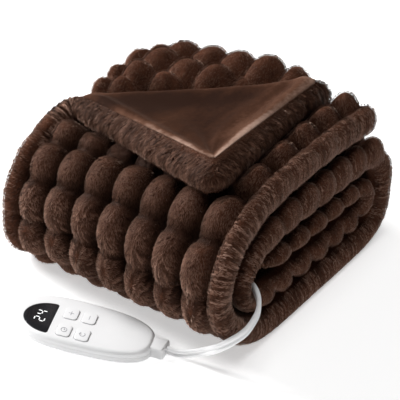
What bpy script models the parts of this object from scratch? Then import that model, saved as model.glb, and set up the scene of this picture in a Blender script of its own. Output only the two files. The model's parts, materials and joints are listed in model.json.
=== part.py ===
"""Folded heated throw: bubble faux fur in one spiral section, one corner turned over, and its hand controller.

World frame in metres, +Z up. The origin is the centre of the folded cloth's base, on the surface it lies on.
+X runs along the folds' width to the side where the layers show, and -Y is the rounded front.
"""
import math

import bpy
import bmesh
import numpy as np
from mathutils import Matrix, Vector

MM = 0.001
CLEARANCE = 0.3 * MM

# ---------------------------------------------------------------- cloth sizes
HALF_WIDTH = 155 * MM
HEM_WIDTH = 22 * MM
COLUMNS = 7
COLUMN_PITCH = 2 * (HALF_WIDTH - HEM_WIDTH) / COLUMNS
ROW_PITCH = 40 * MM
INNER_PITCH = 30 * MM        # rows of puffs on the inner layers and on the back that shows
VALLEY_SHARE = 0.26          # pile height left in the valley between two columns
CREASE_SHARE = 0.62          # pile height lost in the crease between two puffs of a column
PINCH_SHARE = 0.26           # width that a column loses at a crease
FRONT_CREASE = 0.6           # how deep the creases are on the round front, against those elsewhere
HEM_SHARE = 0.90             # hem roll's height over the pile's
SCALLOP_DEPTH = 7 * MM       # how far the creases draw in the edge of the inner layers
EDGE_LIP = 0.35 * MM         # half of the upright strip at the outermost edge of the cloth
COLUMN_STEPS = 6
ROW_STEP = 7 * MM
CLOTH_FACES_KEPT = 0.205     # share of the fine net's triangles that the solid keeps

# Folded section of the lining side, from the top layer's free end to the innermost end. Millimetres:
# y and z at the right side (+X) and at the left side, the pile's height there, and how scalloped the edge is.
SECTION = (
    # station       right_y right_z left_y left_z right_pile left_pile scallop
    ("top_end",         108,   141,   108,   141,   35,   34,   0.25),
    ("top_back",         40,   149,    40,   138,   36,   33,   0.25),
    ("top_middle",      -20,   150,   -20,   132,   36,   29,   0.25),
    ("top_front",       -75,   148,   -64,   126,   36,   28,   0.25),
    ("nose_shoulder",  -118,   141,   -97,   115,   36,   28,   0.2),
    ("nose_brow",      -148,   126,  -117,    99,   33,   28,   0.1),
    ("nose_upper",     -166,   104,  -127,    80,   31,   28,   0),
    ("nose_face",      -171,    82,  -129,    62,   29,   28,   0),
    ("nose_lower",     -160,    58,  -130,    46,   28,   28,   0),
    ("nose_chin",      -135,    37,  -123,    33,   28,   28,   0),
    ("base_front",     -100,    26,  -103,    26,   28,   28,   0),
    ("base_middle",     -20,    25,   -20,    25,   28,   27,   0),
    ("base_back",        50,    25,    50,    25,   28,   27,   0),
    ("wrap_heel",        92,    26,    92,    26,   26,   26,   0),
    ("wrap_lower",      114,    34,   114,    34,   23,   23,   0),
    ("wrap_upper",      121,    55,   121,    55,   23,   23,   0),
    ("wrap_crown",      118,    80,   118,    80,   28,   28,   0.4),
    ("second_back",     100,    97,   100,    97,   38,   38,   0.6),
    ("second_rear",      60,   100,    60,   100,   41,   36,   0.6),
    ("second_middle",     0,   102,    10,    97,   41,   32,   0.6),
    ("second_fore",     -60,   104,   -40,    93,   38,   29,   0.6),
    ("second_front",   -105,   101,   -74,    87,   31,   25,   0.4),
    ("band_crown",      -130,   92,   -95,    78,   22,   19,   0),
    ("band_face",       -141,   78,  -103,    66,   18,   16,   0),
    ("band_chin",       -135,   66,   -98,    56,   17,   16,   0),
    ("fourth_front",   -113,    60,   -79,    52,   20,   18,   0.6),
    ("fourth_fore",     -70,    59,   -45,    51,   23,   20,   1),
    ("fourth_middle",     0,    59,     5,    53,   24,   22,   1),
    ("fourth_rear",      60,    59,    60,    57,   24,   23,   1),
    ("inner_heel",       82,    61,    82,    60,   23,   22,   1),
    ("inner_crown",      84,    70,    84,    69,   22,   21,   1),
    ("third_rear",       60,    74,    60,    72,   22,   20,   1),
    ("third_middle",      0,    74,    10,    68,   23,   19,   1),
    ("third_fore",      -60,    75,   -32,    68,   22,   18,   1),
    ("third_end",      -108,    75,   -60,    66,   19,   16,   1),
)
SPLINE_STEPS = 14

# The exposed back of the second layer stands up more than the part that the top layer presses down.
EXPOSED_LIFT = 14 * MM
EXPOSED_SLANT = 0.113         # the right side of it stands higher than the left
EXPOSED_SLANT_FROM = -131 * MM
EXPOSED_SWELL = 16 * MM
EXPOSED_SPREAD = 22 * MM
EXPOSED_REACH = 42 * MM
EXPOSED_LEFT = 8 * MM         # how much more its leftmost column stands up

# ---------------------------------------------------------------- turned-over corner
FOLD_LEFT = Vector((-155 * MM, -44 * MM))
FOLD_RIGHT = Vector((100 * MM, 103 * MM))
FOLD_APEX = Vector((118 * MM, -152 * MM))
FOLD_LEFT_TOP = 157 * MM
FOLD_RIGHT_TOP = 197 * MM
FOLD_APEX_TOP = 193 * MM
FLAP_THICKNESS = 19 * MM
FLAP_HEM_WIDTH = 24 * MM
FLAP_HEM_ROUND = 13 * MM
FLAP_RIDGE = 5 * MM
FLAP_RIDGE_SPREAD = 9 * MM
FLAP_SAG = 5 * MM
FLAP_GAP = 2 * MM
FLAP_STEP = 9 * MM
FLAP_FACES_KEPT = 0.45
APEX_RADIUS = 20 * MM
FOLD_END_RADIUS = 10 * MM
PRESS_SOFTNESS = 6 * MM      # how gradually the pile gives way where the corner lies on it

# Where the left hem rolls over the fold and becomes the corner's edge, millimetres.
HEM_TURN_ROUTE = (
    (-143, -104, 122),
    (-144, -78, 134),
    (-143, -58, 141),
    (-138, -45, 145),
    (-127, -42, 147),
    (-110, -48, 149),
    (-90, -56, 150),
)
HEM_TURN_RADIUS = 12.5 * MM
HEM_TURN_STEP = 12 * MM
LINING_THICKNESS = 2 * MM
LINING_LOW = -1.2 * MM
LINING_BED_TOP = 8 * MM
LINING_TIP = 0.985
LINING_WRAP = math.radians(150)
LINING_INSET = 21 * MM
LINING_ROWS_WRAP = 7
LINING_ROWS_TOP = 14
LINING_COLUMNS = 14

# ---------------------------------------------------------------- controller sizes
CONTROLLER_CENTRE = Vector((-1.6 * MM, -203.6 * MM, 0))
CONTROLLER_TURN = math.radians(11.7)
CONTROLLER_LEAN = Matrix.Shear("XZ", 4, (-0.2, 0))     # its plan slants: the far side lies further left
BODY_LENGTH = 148 * MM
BODY_WIDTH = 76 * MM
BODY_HEIGHT = 14.5 * MM
CUT_TOP = 20 * MM            # how high the cutters stand over the base plane
BODY_EXPONENT = 2.9
BODY_TAPER = 0.14
BODY_POINTS = 44
PARTING_HEIGHT = 6 * MM
TOP_ROUND = 4.5 * MM
FOOT_ROUND = 2.5 * MM
FACE_SHIFT = -6.5 * MM        # the window and the keys sit a little towards the near side
DISPLAY_LENGTH = 33 * MM
DISPLAY_WIDTH = 47 * MM
DISPLAY_EDGE_X = -35 * MM
DISPLAY_CORNER = 2.5 * MM
DISPLAY_DEPTH = 1.6 * MM
KEY_LENGTH = 15.5 * MM
KEY_WIDTH = 18 * MM
KEY_CORNER = 4 * MM
KEY_PROUD = 1.0 * MM
KEY_ROUND = 0.8 * MM
KEY_SUNK = 2.5 * MM
KEY_WELL_DEPTH = 4.1 * MM
KEY_PITCH_ALONG = 20.4 * MM
KEY_PITCH_ACROSS = 27.5 * MM
KEY_BLOCK_X = -8.6 * MM
KEY_NAMES = (("key_warmer", 0, 1), ("key_cooler", 1, 1), ("key_timer", 0, 0), ("key_power", 1, 0))
BOOT_LENGTH = 18 * MM
BOOT_WIDTH = 20 * MM
BOOT_HEIGHT = 12 * MM
BOOT_ROUND = 2 * MM
BOOT_FOOT_ROUND = 1 * MM
BOOT_SUNK = 4 * MM
BOOT_CORNER = 3 * MM

# ---------------------------------------------------------------- lead
LEAD_WIDTH = 9.6 * MM
LEAD_STEP = 14 * MM
# Route of the lead's middle line from the socket in the cloth to just before the boot, millimetres.
LEAD_ROUTE = (
    (139, -126, 75),
    (150, -130, 74),
    (161, -139, 70),
    (168, -151, 65.5),
    (170, -163, 61),
    (167.5, -174, 54),
    (157, -183, 44),
    (143, -184.5, 32),
    (128.5, -181, 20.5),
    (113.5, -180.5, 11.5),
)
LEAD_RUN_IN = 13 * MM        # straight stretch before the boot
SOCKET_LENGTH = 20 * MM
SOCKET_WIDTH = 15 * MM
SOCKET_HEIGHT = 11 * MM
SOCKET_ROUND = 2 * MM

FUR_COLOUR = (0.075, 0.032, 0.021, 1)
LINING_COLOUR = (0.11, 0.052, 0.035, 1)
SHELL_COLOUR = (0.82, 0.82, 0.83, 1)
SCREEN_COLOUR = (0.01, 0.01, 0.011, 1)


# ---------------------------------------------------------------- scene helpers
def clear_scene():
    for item in list(bpy.data.objects):
        bpy.data.objects.remove(item, do_unlink=True)


def new_collection(name):
    collection = bpy.data.collections.new(name)
    bpy.context.scene.collection.children.link(collection)
    return collection


def principled(name, colour, roughness):
    material = bpy.data.materials.new(name)
    material.use_nodes = True
    shader = material.node_tree.nodes["Principled BSDF"]
    shader.inputs["Base Color"].default_value = colour
    shader.inputs["Roughness"].default_value = roughness
    shader.inputs["Metallic"].default_value = 0.0
    material.diffuse_color = colour
    return material


def add_object(name, mesh, collection, material=None):
    item = bpy.data.objects.new(name, mesh)
    collection.objects.link(item)
    if material:
        mesh.materials.append(material)
    return item


def mesh_from(bm, name):
    bmesh.ops.recalc_face_normals(bm, faces=bm.faces)
    if bm.calc_volume(signed=True) < 0:
        bmesh.ops.reverse_faces(bm, faces=bm.faces)
    mesh = bpy.data.meshes.new(name)
    bm.to_mesh(mesh)
    bm.free()
    return mesh


def thinned(mesh, kept, collection):
    """The mesh with its triangles thinned out where it is flat."""
    item = add_object("net", mesh, collection)
    thin = item.modifiers.new("thin", "DECIMATE")
    thin.ratio = kept
    thin.use_collapse_triangulate = True
    graph = bpy.context.evaluated_depsgraph_get()
    result = bpy.data.meshes.new_from_object(item.evaluated_get(graph))
    bpy.data.objects.remove(item, do_unlink=True)
    return result


def as_cutter(item):
    item.hide_render = True
    item.display_type = "WIRE"
    return item


def combine(item, other, operation):
    boolean = item.modifiers.new(operation.lower(), "BOOLEAN")
    boolean.operation = operation
    boolean.solver = "EXACT"
    boolean.object = other


# ---------------------------------------------------------------- shape functions
def smooth(value, low, high):
    share = min(max((value - low) / (high - low), 0.0), 1.0)
    return share * share * (3 - 2 * share)


def quarter_round(distance, radius):
    """0 at the edge, 1 from radius inwards, along a quarter circle."""
    share = min(max(distance / radius, 0.0), 1.0)
    return math.sqrt(1 - (1 - share) ** 2)


def uneven(column, row, seed):
    """A fixed value between -1 and 1 for each puff."""
    value = math.sin(column * 12.9898 + row * 78.233 + seed * 37.719) * 43758.5453
    return 2 * (value - math.floor(value)) - 1


class FoldPath:
    """The folded section as smooth curves over the cloth's length."""

    def __init__(self):
        table = np.array([row[1:] for row in SECTION], float)
        table[:, :6] *= MM
        self.rows = self.spline(table)
        steps = np.diff(self.rows, axis=0)
        right = np.hypot(steps[:, 0], steps[:, 1])
        left = np.hypot(steps[:, 2], steps[:, 3])
        self.length_at = np.concatenate(([0.0], np.cumsum((right + left) / 2)))
        self.length = float(self.length_at[-1])
        station = [row[0] for row in SECTION]
        self.station_length = {name: self.length_at[i * SPLINE_STEPS] for i, name in enumerate(station)}

    @staticmethod
    def spline(table):
        """Catmull-Rom curve through the table's rows."""
        padded = np.vstack((2 * table[0] - table[1], table, 2 * table[-1] - table[-2]))
        rows = []
        for i in range(1, len(padded) - 2):
            a, b, c, d = padded[i - 1:i + 3]
            for step in range(SPLINE_STEPS):
                t = step / SPLINE_STEPS
                rows.append(b + 0.5 * t * ((c - a) + t * ((2 * a - 5 * b + 4 * c - d)
                                                          + t * (3 * (b - c) + d - a))))
        rows.append(table[-1])
        return np.array(rows)

    def read(self, length, column):
        return float(np.interp(length, self.length_at, self.rows[:, column]))

    def section(self, x, length):
        """y and z of the lining side, for a width position and a length along the cloth."""
        share = (x / HALF_WIDTH + 1) / 2
        right = self.read(length, 0), self.read(length, 1)
        left = self.read(length, 2), self.read(length, 3)
        return left[0] + (right[0] - left[0]) * share, left[1] + (right[1] - left[1]) * share

    def normal(self, x, length):
        span = 3 * MM
        low, high = max(length - span, 0.0), min(length + span, self.length)
        start, end = self.section(x, low), self.section(x, high)
        run, rise = end[0] - start[0], end[1] - start[1]
        size = math.hypot(run, rise)
        return rise / size, -run / size

    def pile(self, x, length):
        share = (x / HALF_WIDTH + 1) / 2
        return self.read(length, 5) + (self.read(length, 4) - self.read(length, 5)) * share

    def scallop(self, length):
        return self.read(length, 6)

    def top_lining_height(self, x, y):
        """Height of the top layer's lining side above a point of the plan."""
        last = int(np.searchsorted(self.length_at, self.station_length["nose_face"]))
        share = (x / HALF_WIDTH + 1) / 2
        across = self.rows[:last, 2] + (self.rows[:last, 0] - self.rows[:last, 2]) * share
        height = self.rows[:last, 3] + (self.rows[:last, 1] - self.rows[:last, 3]) * share
        return float(np.interp(-y, -across, height))


PATH = FoldPath()
FOLD_ALONG = (FOLD_RIGHT - FOLD_LEFT).normalized()
FOLD_INTO = Vector((FOLD_ALONG.y, -FOLD_ALONG.x))      # from the fold line towards the apex


def edge_distance(point, start, end, inside):
    """Distance of a plan point from the line start-end, positive on the side where inside lies."""
    along = (end - start).normalized()
    across = Vector((-along.y, along.x))
    if across.dot(inside - start) < 0:
        across = -across
    return across.dot(point - start)


def flap_distances(x, y):
    point = Vector((x, y))
    fold = FOLD_INTO.dot(point - FOLD_LEFT)
    left = edge_distance(point, FOLD_LEFT, FOLD_APEX, FOLD_RIGHT)
    right = edge_distance(point, FOLD_RIGHT, FOLD_APEX, FOLD_LEFT)
    return fold, left, right


def flap_top(x, y):
    """Height of the turned-over corner's upper side, before its edges are rounded."""
    fold, left, right = flap_distances(x, y)
    apex_share = fold / FOLD_INTO.dot(FOLD_APEX - FOLD_LEFT)
    right_share = left / edge_distance(FOLD_RIGHT, FOLD_LEFT, FOLD_APEX, FOLD_RIGHT)
    left_share = 1 - apex_share - right_share
    plane = left_share * FOLD_LEFT_TOP + right_share * FOLD_RIGHT_TOP + apex_share * FOLD_APEX_TOP
    inner = min(left, right)
    ridge = FLAP_RIDGE * math.exp(-((inner - LINING_INSET) / FLAP_RIDGE_SPREAD) ** 2)
    sag = FLAP_SAG * smooth(inner, FLAP_HEM_WIDTH, 70 * MM) * smooth(fold, 0.0, 50 * MM)
    return plane + ridge * smooth(fold, 0.0, 30 * MM) - sag


def fold_radius(x, y):
    return (flap_top(x, y) - PATH.top_lining_height(x, y)) / 2


# ---------------------------------------------------------------- fur panel
def row_at(length):
    """Number of the row of puffs at a length along the cloth, whole in the middle of a row."""
    start, turn = PATH.station_length["base_middle"] + 20 * MM, PATH.station_length["wrap_crown"]
    return (min(length, turn) - start) / ROW_PITCH + max(length - turn, 0.0) / INNER_PITCH


def puff_height(x, length, pile):
    """Height of the fur face over the lining side, away from the hems."""
    columns = x / COLUMN_PITCH
    column = round(columns)
    rows = row_at(length) + 0.06 * math.sin(length / (3.1 * ROW_PITCH) + column)
    row = round(rows)
    across = 2 * (columns - column)
    along = 2 * (rows - row)
    size = 1 + 0.07 * uneven(column, row, 1)
    pinch = 1 - PINCH_SHARE * abs(along) ** 3
    dome = max(0.0, 1 - (abs(across) / pinch) ** 2.2) ** 0.6
    front = smooth(length, PATH.station_length["nose_brow"], PATH.station_length["nose_face"])
    front *= 1 - smooth(length, PATH.station_length["base_front"], PATH.station_length["base_middle"])
    crease = 1 - CREASE_SHARE * (1 - (1 - FRONT_CREASE) * front) * abs(along) ** 2.3
    return pile * (VALLEY_SHARE + (size - VALLEY_SHARE) * dome * crease)


def row_bump(length):
    """1 at the middle of a row of puffs, 0 at the crease between two rows."""
    rows = row_at(length)
    return 1 - abs(2 * (rows - round(rows))) ** 2.2


def rounded_corner(side, end):
    """Plan distance from the cloth's rounded outline, and the share by which a corner point draws in."""
    reach_side, reach_end = max(HEM_WIDTH - side, 0.0), max(HEM_WIDTH - end, 0.0)
    far = math.hypot(reach_side, reach_end)
    if far == 0 or min(reach_side, reach_end) == 0:
        return HEM_WIDTH - max(reach_side, reach_end), 1.0
    return HEM_WIDTH - max(reach_side, reach_end), max(reach_side, reach_end) / far


def exposed_share(x, y, z):
    """How freely the second layer's back stands up behind the fold line."""
    behind = -FOLD_INTO.dot(Vector((x, y)) - FOLD_LEFT)
    middle = 1 - (0.45 if x > 0 else 0.1) * smooth(abs(x), 115 * MM, HALF_WIDTH)
    return smooth(behind, 4 * MM, EXPOSED_REACH) * smooth(z, 75 * MM, 100 * MM) * middle


def cloth_point(x, length, upper):
    """World place of a point of the flat fur panel: lower side is the lining's, upper side the fur's."""
    side = HALF_WIDTH - abs(x)
    end = min(length, PATH.length - length)
    edge, draw = rounded_corner(side, end)
    if draw < 1:
        side = HEM_WIDTH - (HEM_WIDTH - side) * draw
        end = HEM_WIDTH - (HEM_WIDTH - end) * draw
        x = math.copysign(HALF_WIDTH - side, x)
        length = end if length < PATH.length / 2 else PATH.length - end
    pile = PATH.pile(x, length)
    y, z = PATH.section(x, length)
    out_y, out_z = PATH.normal(x, length)
    exposed = 0.0
    if PATH.station_length["wrap_upper"] < length < PATH.station_length["second_front"]:
        exposed = exposed_share(x, y, z)
    y += EXPOSED_SPREAD * exposed * smooth(y, 40 * MM, 110 * MM)
    left = smooth(-x, 70 * MM, 120 * MM) * (1 - 1.6 * smooth(y, 90 * MM, 125 * MM))
    z += (EXPOSED_LIFT + EXPOSED_SLANT * (x - EXPOSED_SLANT_FROM) + EXPOSED_LEFT * left) * exposed
    pile += EXPOSED_SWELL * exposed
    scallop = PATH.scallop(length) * (1 - row_bump(length))
    hem = HEM_SHARE * pile * (1 - 0.45 * scallop)
    half = HEM_WIDTH / 2
    if edge < half:
        swell = quarter_round(edge, half)
        height = hem / 2 + (hem / 2 * swell + EDGE_LIP) * (1 if upper else -1)
    elif upper:
        ridge = hem / 2 * (1 + math.sqrt(max(0.0, 1 - ((edge - half) / half) ** 2)))
        height = ridge if edge < HEM_WIDTH else 0.0
        if edge > 0.72 * HEM_WIDTH:
            height = max(height * smooth(2 * HEM_WIDTH - edge, 0.0, HEM_WIDTH), puff_height(x, length, pile))
    else:
        height = 0.0
    if upper and length < PATH.station_length["nose_brow"]:
        height = pressed(height, room_under_flap(x, y, z))
    x -= math.copysign(SCALLOP_DEPTH * scallop * smooth(HEM_WIDTH - edge, 0.0, HEM_WIDTH), x)
    return x, y + out_y * height, max(z + out_z * height, 0.0)


def pressed(height, room):
    """The lesser of the two, with a soft passage between them."""
    blend = math.log(math.exp(-height / PRESS_SOFTNESS) + math.exp(-room / PRESS_SOFTNESS))
    return min(-PRESS_SOFTNESS * blend, height, room)


def room_under_flap(x, y, z):
    """Height that the turned-over corner leaves the top layer's pile."""
    fold, left, right = flap_distances(x, y)
    outside = max(-left, -right, 0.0)
    return flap_top(x, y) - FLAP_THICKNESS - FLAP_GAP - z + 1.4 * outside


def panel_lines():
    """Where the flat panel's net has its lines, across its width and along its length."""
    hem = [0.0, 0.7 * MM, 2.6 * MM, 6 * MM, 11 * MM, 15 * MM, 18.5 * MM]
    inner = HALF_WIDTH - HEM_WIDTH
    across = np.linspace(-inner, inner, COLUMNS * COLUMN_STEPS + 1)
    widths = [-HALF_WIDTH + e for e in hem] + list(across) + [HALF_WIDTH - e for e in reversed(hem)]
    rows = round((PATH.length - 2 * HEM_WIDTH) / ROW_STEP)
    along = np.linspace(HEM_WIDTH, PATH.length - HEM_WIDTH, rows + 1)
    lengths = hem + list(along) + [PATH.length - e for e in reversed(hem)]
    return widths, lengths


def flat_net(widths, lengths):
    """A flat net with a vertex at each crossing of the given lines."""
    bm = bmesh.new()
    bmesh.ops.create_grid(bm, x_segments=len(widths) - 1, y_segments=len(lengths) - 1, size=1)
    for vertex in bm.verts:
        column = round((vertex.co.x + 1) / 2 * (len(widths) - 1))
        row = round((vertex.co.y + 1) / 2 * (len(lengths) - 1))
        vertex.co = (widths[column], lengths[row], 0)
    return bm


def cut_away(bm, point, outward):
    bmesh.ops.bisect_plane(bm, geom=bm.verts[:] + bm.edges[:] + bm.faces[:], plane_co=point,
                           plane_no=outward, clear_outer=True, dist=1e-7)


def mark_line(bm, point, across):
    bmesh.ops.bisect_plane(bm, geom=bm.verts[:] + bm.edges[:] + bm.faces[:], plane_co=point,
                           plane_no=across, dist=1e-7)


def two_sides(bm):
    """Give the flat net a second side: z tells them apart, 0 for the lower and 1 for the upper one."""
    grown = bmesh.ops.extrude_face_region(bm, geom=bm.faces[:])
    for item in grown["geom"]:
        if isinstance(item, bmesh.types.BMVert):
            item.co.z = 1
    return bm


def length_on_top_layer(x, y):
    """Length along the cloth at which the top layer reaches a plan position."""
    low, high = 0.0, PATH.station_length["nose_brow"]
    for _ in range(40):
        middle = (low + high) / 2
        if PATH.section(x, middle)[0] > y:
            low = middle
        else:
            high = middle
    return low


def trim_top_layer(bm):
    """Cut the panel where its corner turns over, just inside the fold."""
    ends = []
    for corner in (FOLD_LEFT, FOLD_RIGHT):
        inside = corner + FOLD_INTO * 0.9 * fold_radius(corner.x, corner.y)
        ends.append(Vector((inside.x, length_on_top_layer(inside.x, inside.y), 0)))
    along = (ends[1] - ends[0]).normalized()
    outward = Vector((along.y, -along.x, 0))
    if outward.y > 0:
        outward = -outward
    top = [face for face in bm.faces if face.calc_center_median().y < PATH.station_length["nose_brow"]]
    geometry = {item for face in top for item in (*face.verts, *face.edges)} | set(top)
    bmesh.ops.bisect_plane(bm, geom=list(geometry), plane_co=ends[0], plane_no=outward,
                           clear_outer=True, dist=1e-7)


def make_flap(collection):
    """The turned-over corner of the panel: a pad with rolled edges and the round of its fold."""
    corners = (FOLD_LEFT, FOLD_RIGHT, FOLD_APEX)
    low = [min(c[i] for c in corners) for i in (0, 1)]
    high = [max(c[i] for c in corners) for i in (0, 1)]
    counts = [math.ceil((high[i] - low[i]) / FLAP_STEP) for i in (0, 1)]
    bm = flat_net(list(np.linspace(low[0], high[0], counts[0] + 1)),
                  list(np.linspace(low[1], high[1], counts[1] + 1)))
    edges = ((FOLD_LEFT, FOLD_RIGHT, FOLD_APEX), (FOLD_LEFT, FOLD_APEX, FOLD_RIGHT),
             (FOLD_RIGHT, FOLD_APEX, FOLD_LEFT))
    for start, end, inside in edges:
        along = (end - start).normalized()
        outward = Vector((along.y, -along.x))
        if outward.dot(inside - start) > 0:
            outward = -outward
        for inset in (0.7 * MM, 3 * MM, 7 * MM, 13 * MM, 21 * MM):
            mark_line(bm, (start - outward * inset).to_3d(), outward.to_3d())
        cut_away(bm, start.to_3d(), outward.to_3d())
    bmesh.ops.triangulate(bm, faces=bm.faces)
    two_sides(bm)
    for vertex in bm.verts:
        vertex.co = flap_point(vertex.co.x, vertex.co.y, vertex.co.z > 0.5)
    mesh = thinned(mesh_from(bm, "flap"), FLAP_FACES_KEPT, collection)
    return as_cutter(add_object("flap", mesh, collection))


def flap_point(x, y, upper):
    fold, left, right = flap_distances(x, y)
    top = flap_top(x, y)
    radius = fold_radius(x, y)
    lining = PATH.top_lining_height(x, y)
    hem_share = 1 - smooth(min(left, right), 0.6 * FLAP_HEM_WIDTH, 1.2 * FLAP_HEM_WIDTH)
    under = top - FLAP_THICKNESS - 4 * MM * hem_share
    bottom = lining - 1 * MM + (under - lining + 1 * MM) * smooth(fold, 0.9 * radius, 2.0 * radius)
    middle, half = (top + bottom) / 2, (top - bottom) / 2
    edge = min(left, right)
    roundness = quarter_round(edge, FLAP_HEM_ROUND) * quarter_round(fold, radius)
    offset = half * roundness + EDGE_LIP
    for corner, neighbours, distance, round_to in (
            (FOLD_APEX, (FOLD_LEFT, FOLD_RIGHT), edge, APEX_RADIUS),
            (FOLD_LEFT, (FOLD_RIGHT, FOLD_APEX), min(left, fold), FOLD_END_RADIUS),
            (FOLD_RIGHT, (FOLD_LEFT, FOLD_APEX), min(right, fold), FOLD_END_RADIUS)):
        x, y = rounded_off(Vector((x, y)), corner, neighbours, distance, round_to)
    return x, y, middle + (offset if upper else -offset)


def rounded_off(point, corner, neighbours, distance, radius):
    """Plan place of a point once the corner between two straight edges is rounded to a radius."""
    ways = [(other - corner).normalized() for other in neighbours]
    bisector = (ways[0] + ways[1]).normalized()
    half_angle = ways[0].angle(ways[1]) / 2
    centre = corner + bisector * radius / math.sin(half_angle)
    arm = point - centre
    if arm.length < 1e-6 or arm.angle(-bisector) > math.pi / 2 - half_angle:
        return point
    return centre + arm.normalized() * (radius - distance)


def make_hem_turn(collection):
    """The roll by which the left hem goes over the fold and on as the corner's edge."""
    curve = bpy.data.curves.new("hem_turn", "CURVE")
    curve.dimensions = "3D"
    points = smooth_route([Vector(point) * MM for point in HEM_TURN_ROUTE], HEM_TURN_STEP)
    spline = curve.splines.new("POLY")
    spline.points.add(len(points) - 1)
    for target, place in zip(spline.points, points):
        target.co = (*place, 1)
    curve.bevel_depth = HEM_TURN_RADIUS
    curve.bevel_resolution = 2
    curve.use_fill_caps = True
    item = bpy.data.objects.new("hem_turn_curve", curve)
    collection.objects.link(item)
    bm = bmesh.new()
    bm.from_mesh(bpy.data.meshes.new_from_object(item.evaluated_get(bpy.context.evaluated_depsgraph_get())))
    bmesh.ops.remove_doubles(bm, verts=bm.verts, dist=1e-6)
    bpy.data.objects.remove(item, do_unlink=True)
    return as_cutter(add_object("hem_turn", mesh_from(bm, "hem_turn"), collection))


def make_fur_panel(collection, tools, material):
    widths, lengths = panel_lines()
    bm = flat_net(widths, lengths)
    trim_top_layer(bm)
    two_sides(bm)
    for vertex in bm.verts:
        vertex.co = cloth_point(vertex.co.x, vertex.co.y, vertex.co.z > 0.5)
    bmesh.ops.triangulate(bm, faces=bm.faces)
    mesh = thinned(mesh_from(bm, "fur_panel"), CLOTH_FACES_KEPT, tools)
    for vertex in mesh.vertices:
        if vertex.co.z < 0.4 * MM:
            vertex.co.z = 0.0
    panel = add_object("fur_panel", mesh, collection, material)
    combine(panel, make_flap(tools), "UNION")
    combine(panel, make_hem_turn(tools), "UNION")
    return panel


# ---------------------------------------------------------------- lining panel
def lining_point(share, row, lift, margin=0.0):
    """Row 0 is the end that goes round the fold, and the last row is near the apex."""
    inset = LINING_INSET - margin
    left_inset = inset / abs(math.sin(FOLD_ALONG.angle((FOLD_APEX - FOLD_LEFT).normalized())))
    right_inset = inset / abs(math.sin((-FOLD_ALONG).angle((FOLD_APEX - FOLD_RIGHT).normalized())))
    start = FOLD_LEFT + FOLD_ALONG * left_inset
    end = FOLD_RIGHT - FOLD_ALONG * right_inset
    apex = meeting_point(start, FOLD_APEX - FOLD_LEFT, end, FOLD_APEX - FOLD_RIGHT)
    base = start.lerp(end, share)
    radius = fold_radius(*(base + FOLD_INTO * 10 * MM))
    if row < LINING_ROWS_WRAP:
        angle = (LINING_WRAP + margin / radius) * (1 - row / LINING_ROWS_WRAP)
        place = base + FOLD_INTO * (radius - (radius + lift) * math.sin(angle))
        centre = flap_top(*(base + FOLD_INTO * radius)) + EDGE_LIP - radius
        return place.x, place.y, centre + (radius + lift) * math.cos(angle)
    depth = (row - LINING_ROWS_WRAP) / LINING_ROWS_TOP
    place = (base + FOLD_INTO * radius).lerp(apex, LINING_TIP * depth)
    return place.x, place.y, flap_top(place.x, place.y) + EDGE_LIP + lift


def meeting_point(first, first_way, second, second_way):
    """Where two plan lines cross."""
    matrix = Matrix(((first_way.x, -second_way.x), (first_way.y, -second_way.y)))
    return first + first_way * (matrix.inverted() @ (second - first)).x


def lining_sheet(name, low, high, margin=0.0):
    """The lining's sheet between two lifts over the fur panel's turned-over face."""
    rows = LINING_ROWS_WRAP + LINING_ROWS_TOP
    bm = flat_net(list(np.linspace(0, 1, LINING_COLUMNS + 1)), list(range(rows + 1)))
    bmesh.ops.triangulate(bm, faces=bm.faces)
    two_sides(bm)
    for vertex in bm.verts:
        lift = high if vertex.co.z > 0.5 else low
        vertex.co = lining_point(vertex.co.x, round(vertex.co.y), lift, margin)
    return mesh_from(bm, name)


def make_lining_panel(collection, tools, material, fur_panel):
    """Lay the lining in a shallow bed in the turned-over corner, so that its hem stands round it."""
    hollow = lining_sheet("lining_bed", LINING_LOW - CLEARANCE, LINING_BED_TOP, CLEARANCE)
    bed = add_object("lining_bed", hollow, tools)
    combine(fur_panel, as_cutter(bed), "DIFFERENCE")
    mesh = lining_sheet("lining_panel", LINING_LOW, LINING_LOW + LINING_THICKNESS)
    return add_object("lining_panel", mesh, collection, material)


# ---------------------------------------------------------------- controller
def controller_frame():
    return Matrix.Translation(CONTROLLER_CENTRE) @ Matrix.Rotation(CONTROLLER_TURN, 4, "Z")


def body_outline():
    """Plan outline of the housing: a blunt oval, narrower towards the lead."""
    points = []
    for step in range(BODY_POINTS):
        angle = 2 * math.pi * step / BODY_POINTS
        cosine, sine = math.cos(angle), math.sin(angle)
        x = BODY_LENGTH / 2 * math.copysign(abs(cosine) ** (2 / BODY_EXPONENT), cosine)
        y = BODY_WIDTH / 2 * math.copysign(abs(sine) ** (2 / BODY_EXPONENT), sine)
        points.append((x, y * (1 - BODY_TAPER * (x / BODY_LENGTH + 0.5))))
    return points


def rounded_rectangle(length, width, radius, steps=4):
    points = []
    for corner, (sx, sy) in enumerate(((1, 1), (-1, 1), (-1, -1), (1, -1))):
        for step in range(steps + 1):
            angle = math.pi / 2 * (corner + step / steps)
            points.append((sx * (length / 2 - radius) + radius * math.cos(angle),
                           sy * (width / 2 - radius) + radius * math.sin(angle)))
    return points


def display_outline(margin=0.0):
    """Half-round window: straight on the side of the keys, round towards the housing's end."""
    length, width = DISPLAY_LENGTH - DISPLAY_CORNER + margin, DISPLAY_WIDTH / 2 + margin
    edge, turn = DISPLAY_EDGE_X + margin, DISPLAY_EDGE_X - DISPLAY_CORNER
    points = [(turn, -width), (edge, DISPLAY_CORNER - width), (edge, width - DISPLAY_CORNER), (turn, width)]
    for step in range(1, 20):
        angle = math.pi / 2 + math.pi * step / 20
        points.append((turn + length * math.cos(angle), width * math.sin(angle)))
    return [(x, y + FACE_SHIFT) for x, y in points]


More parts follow.
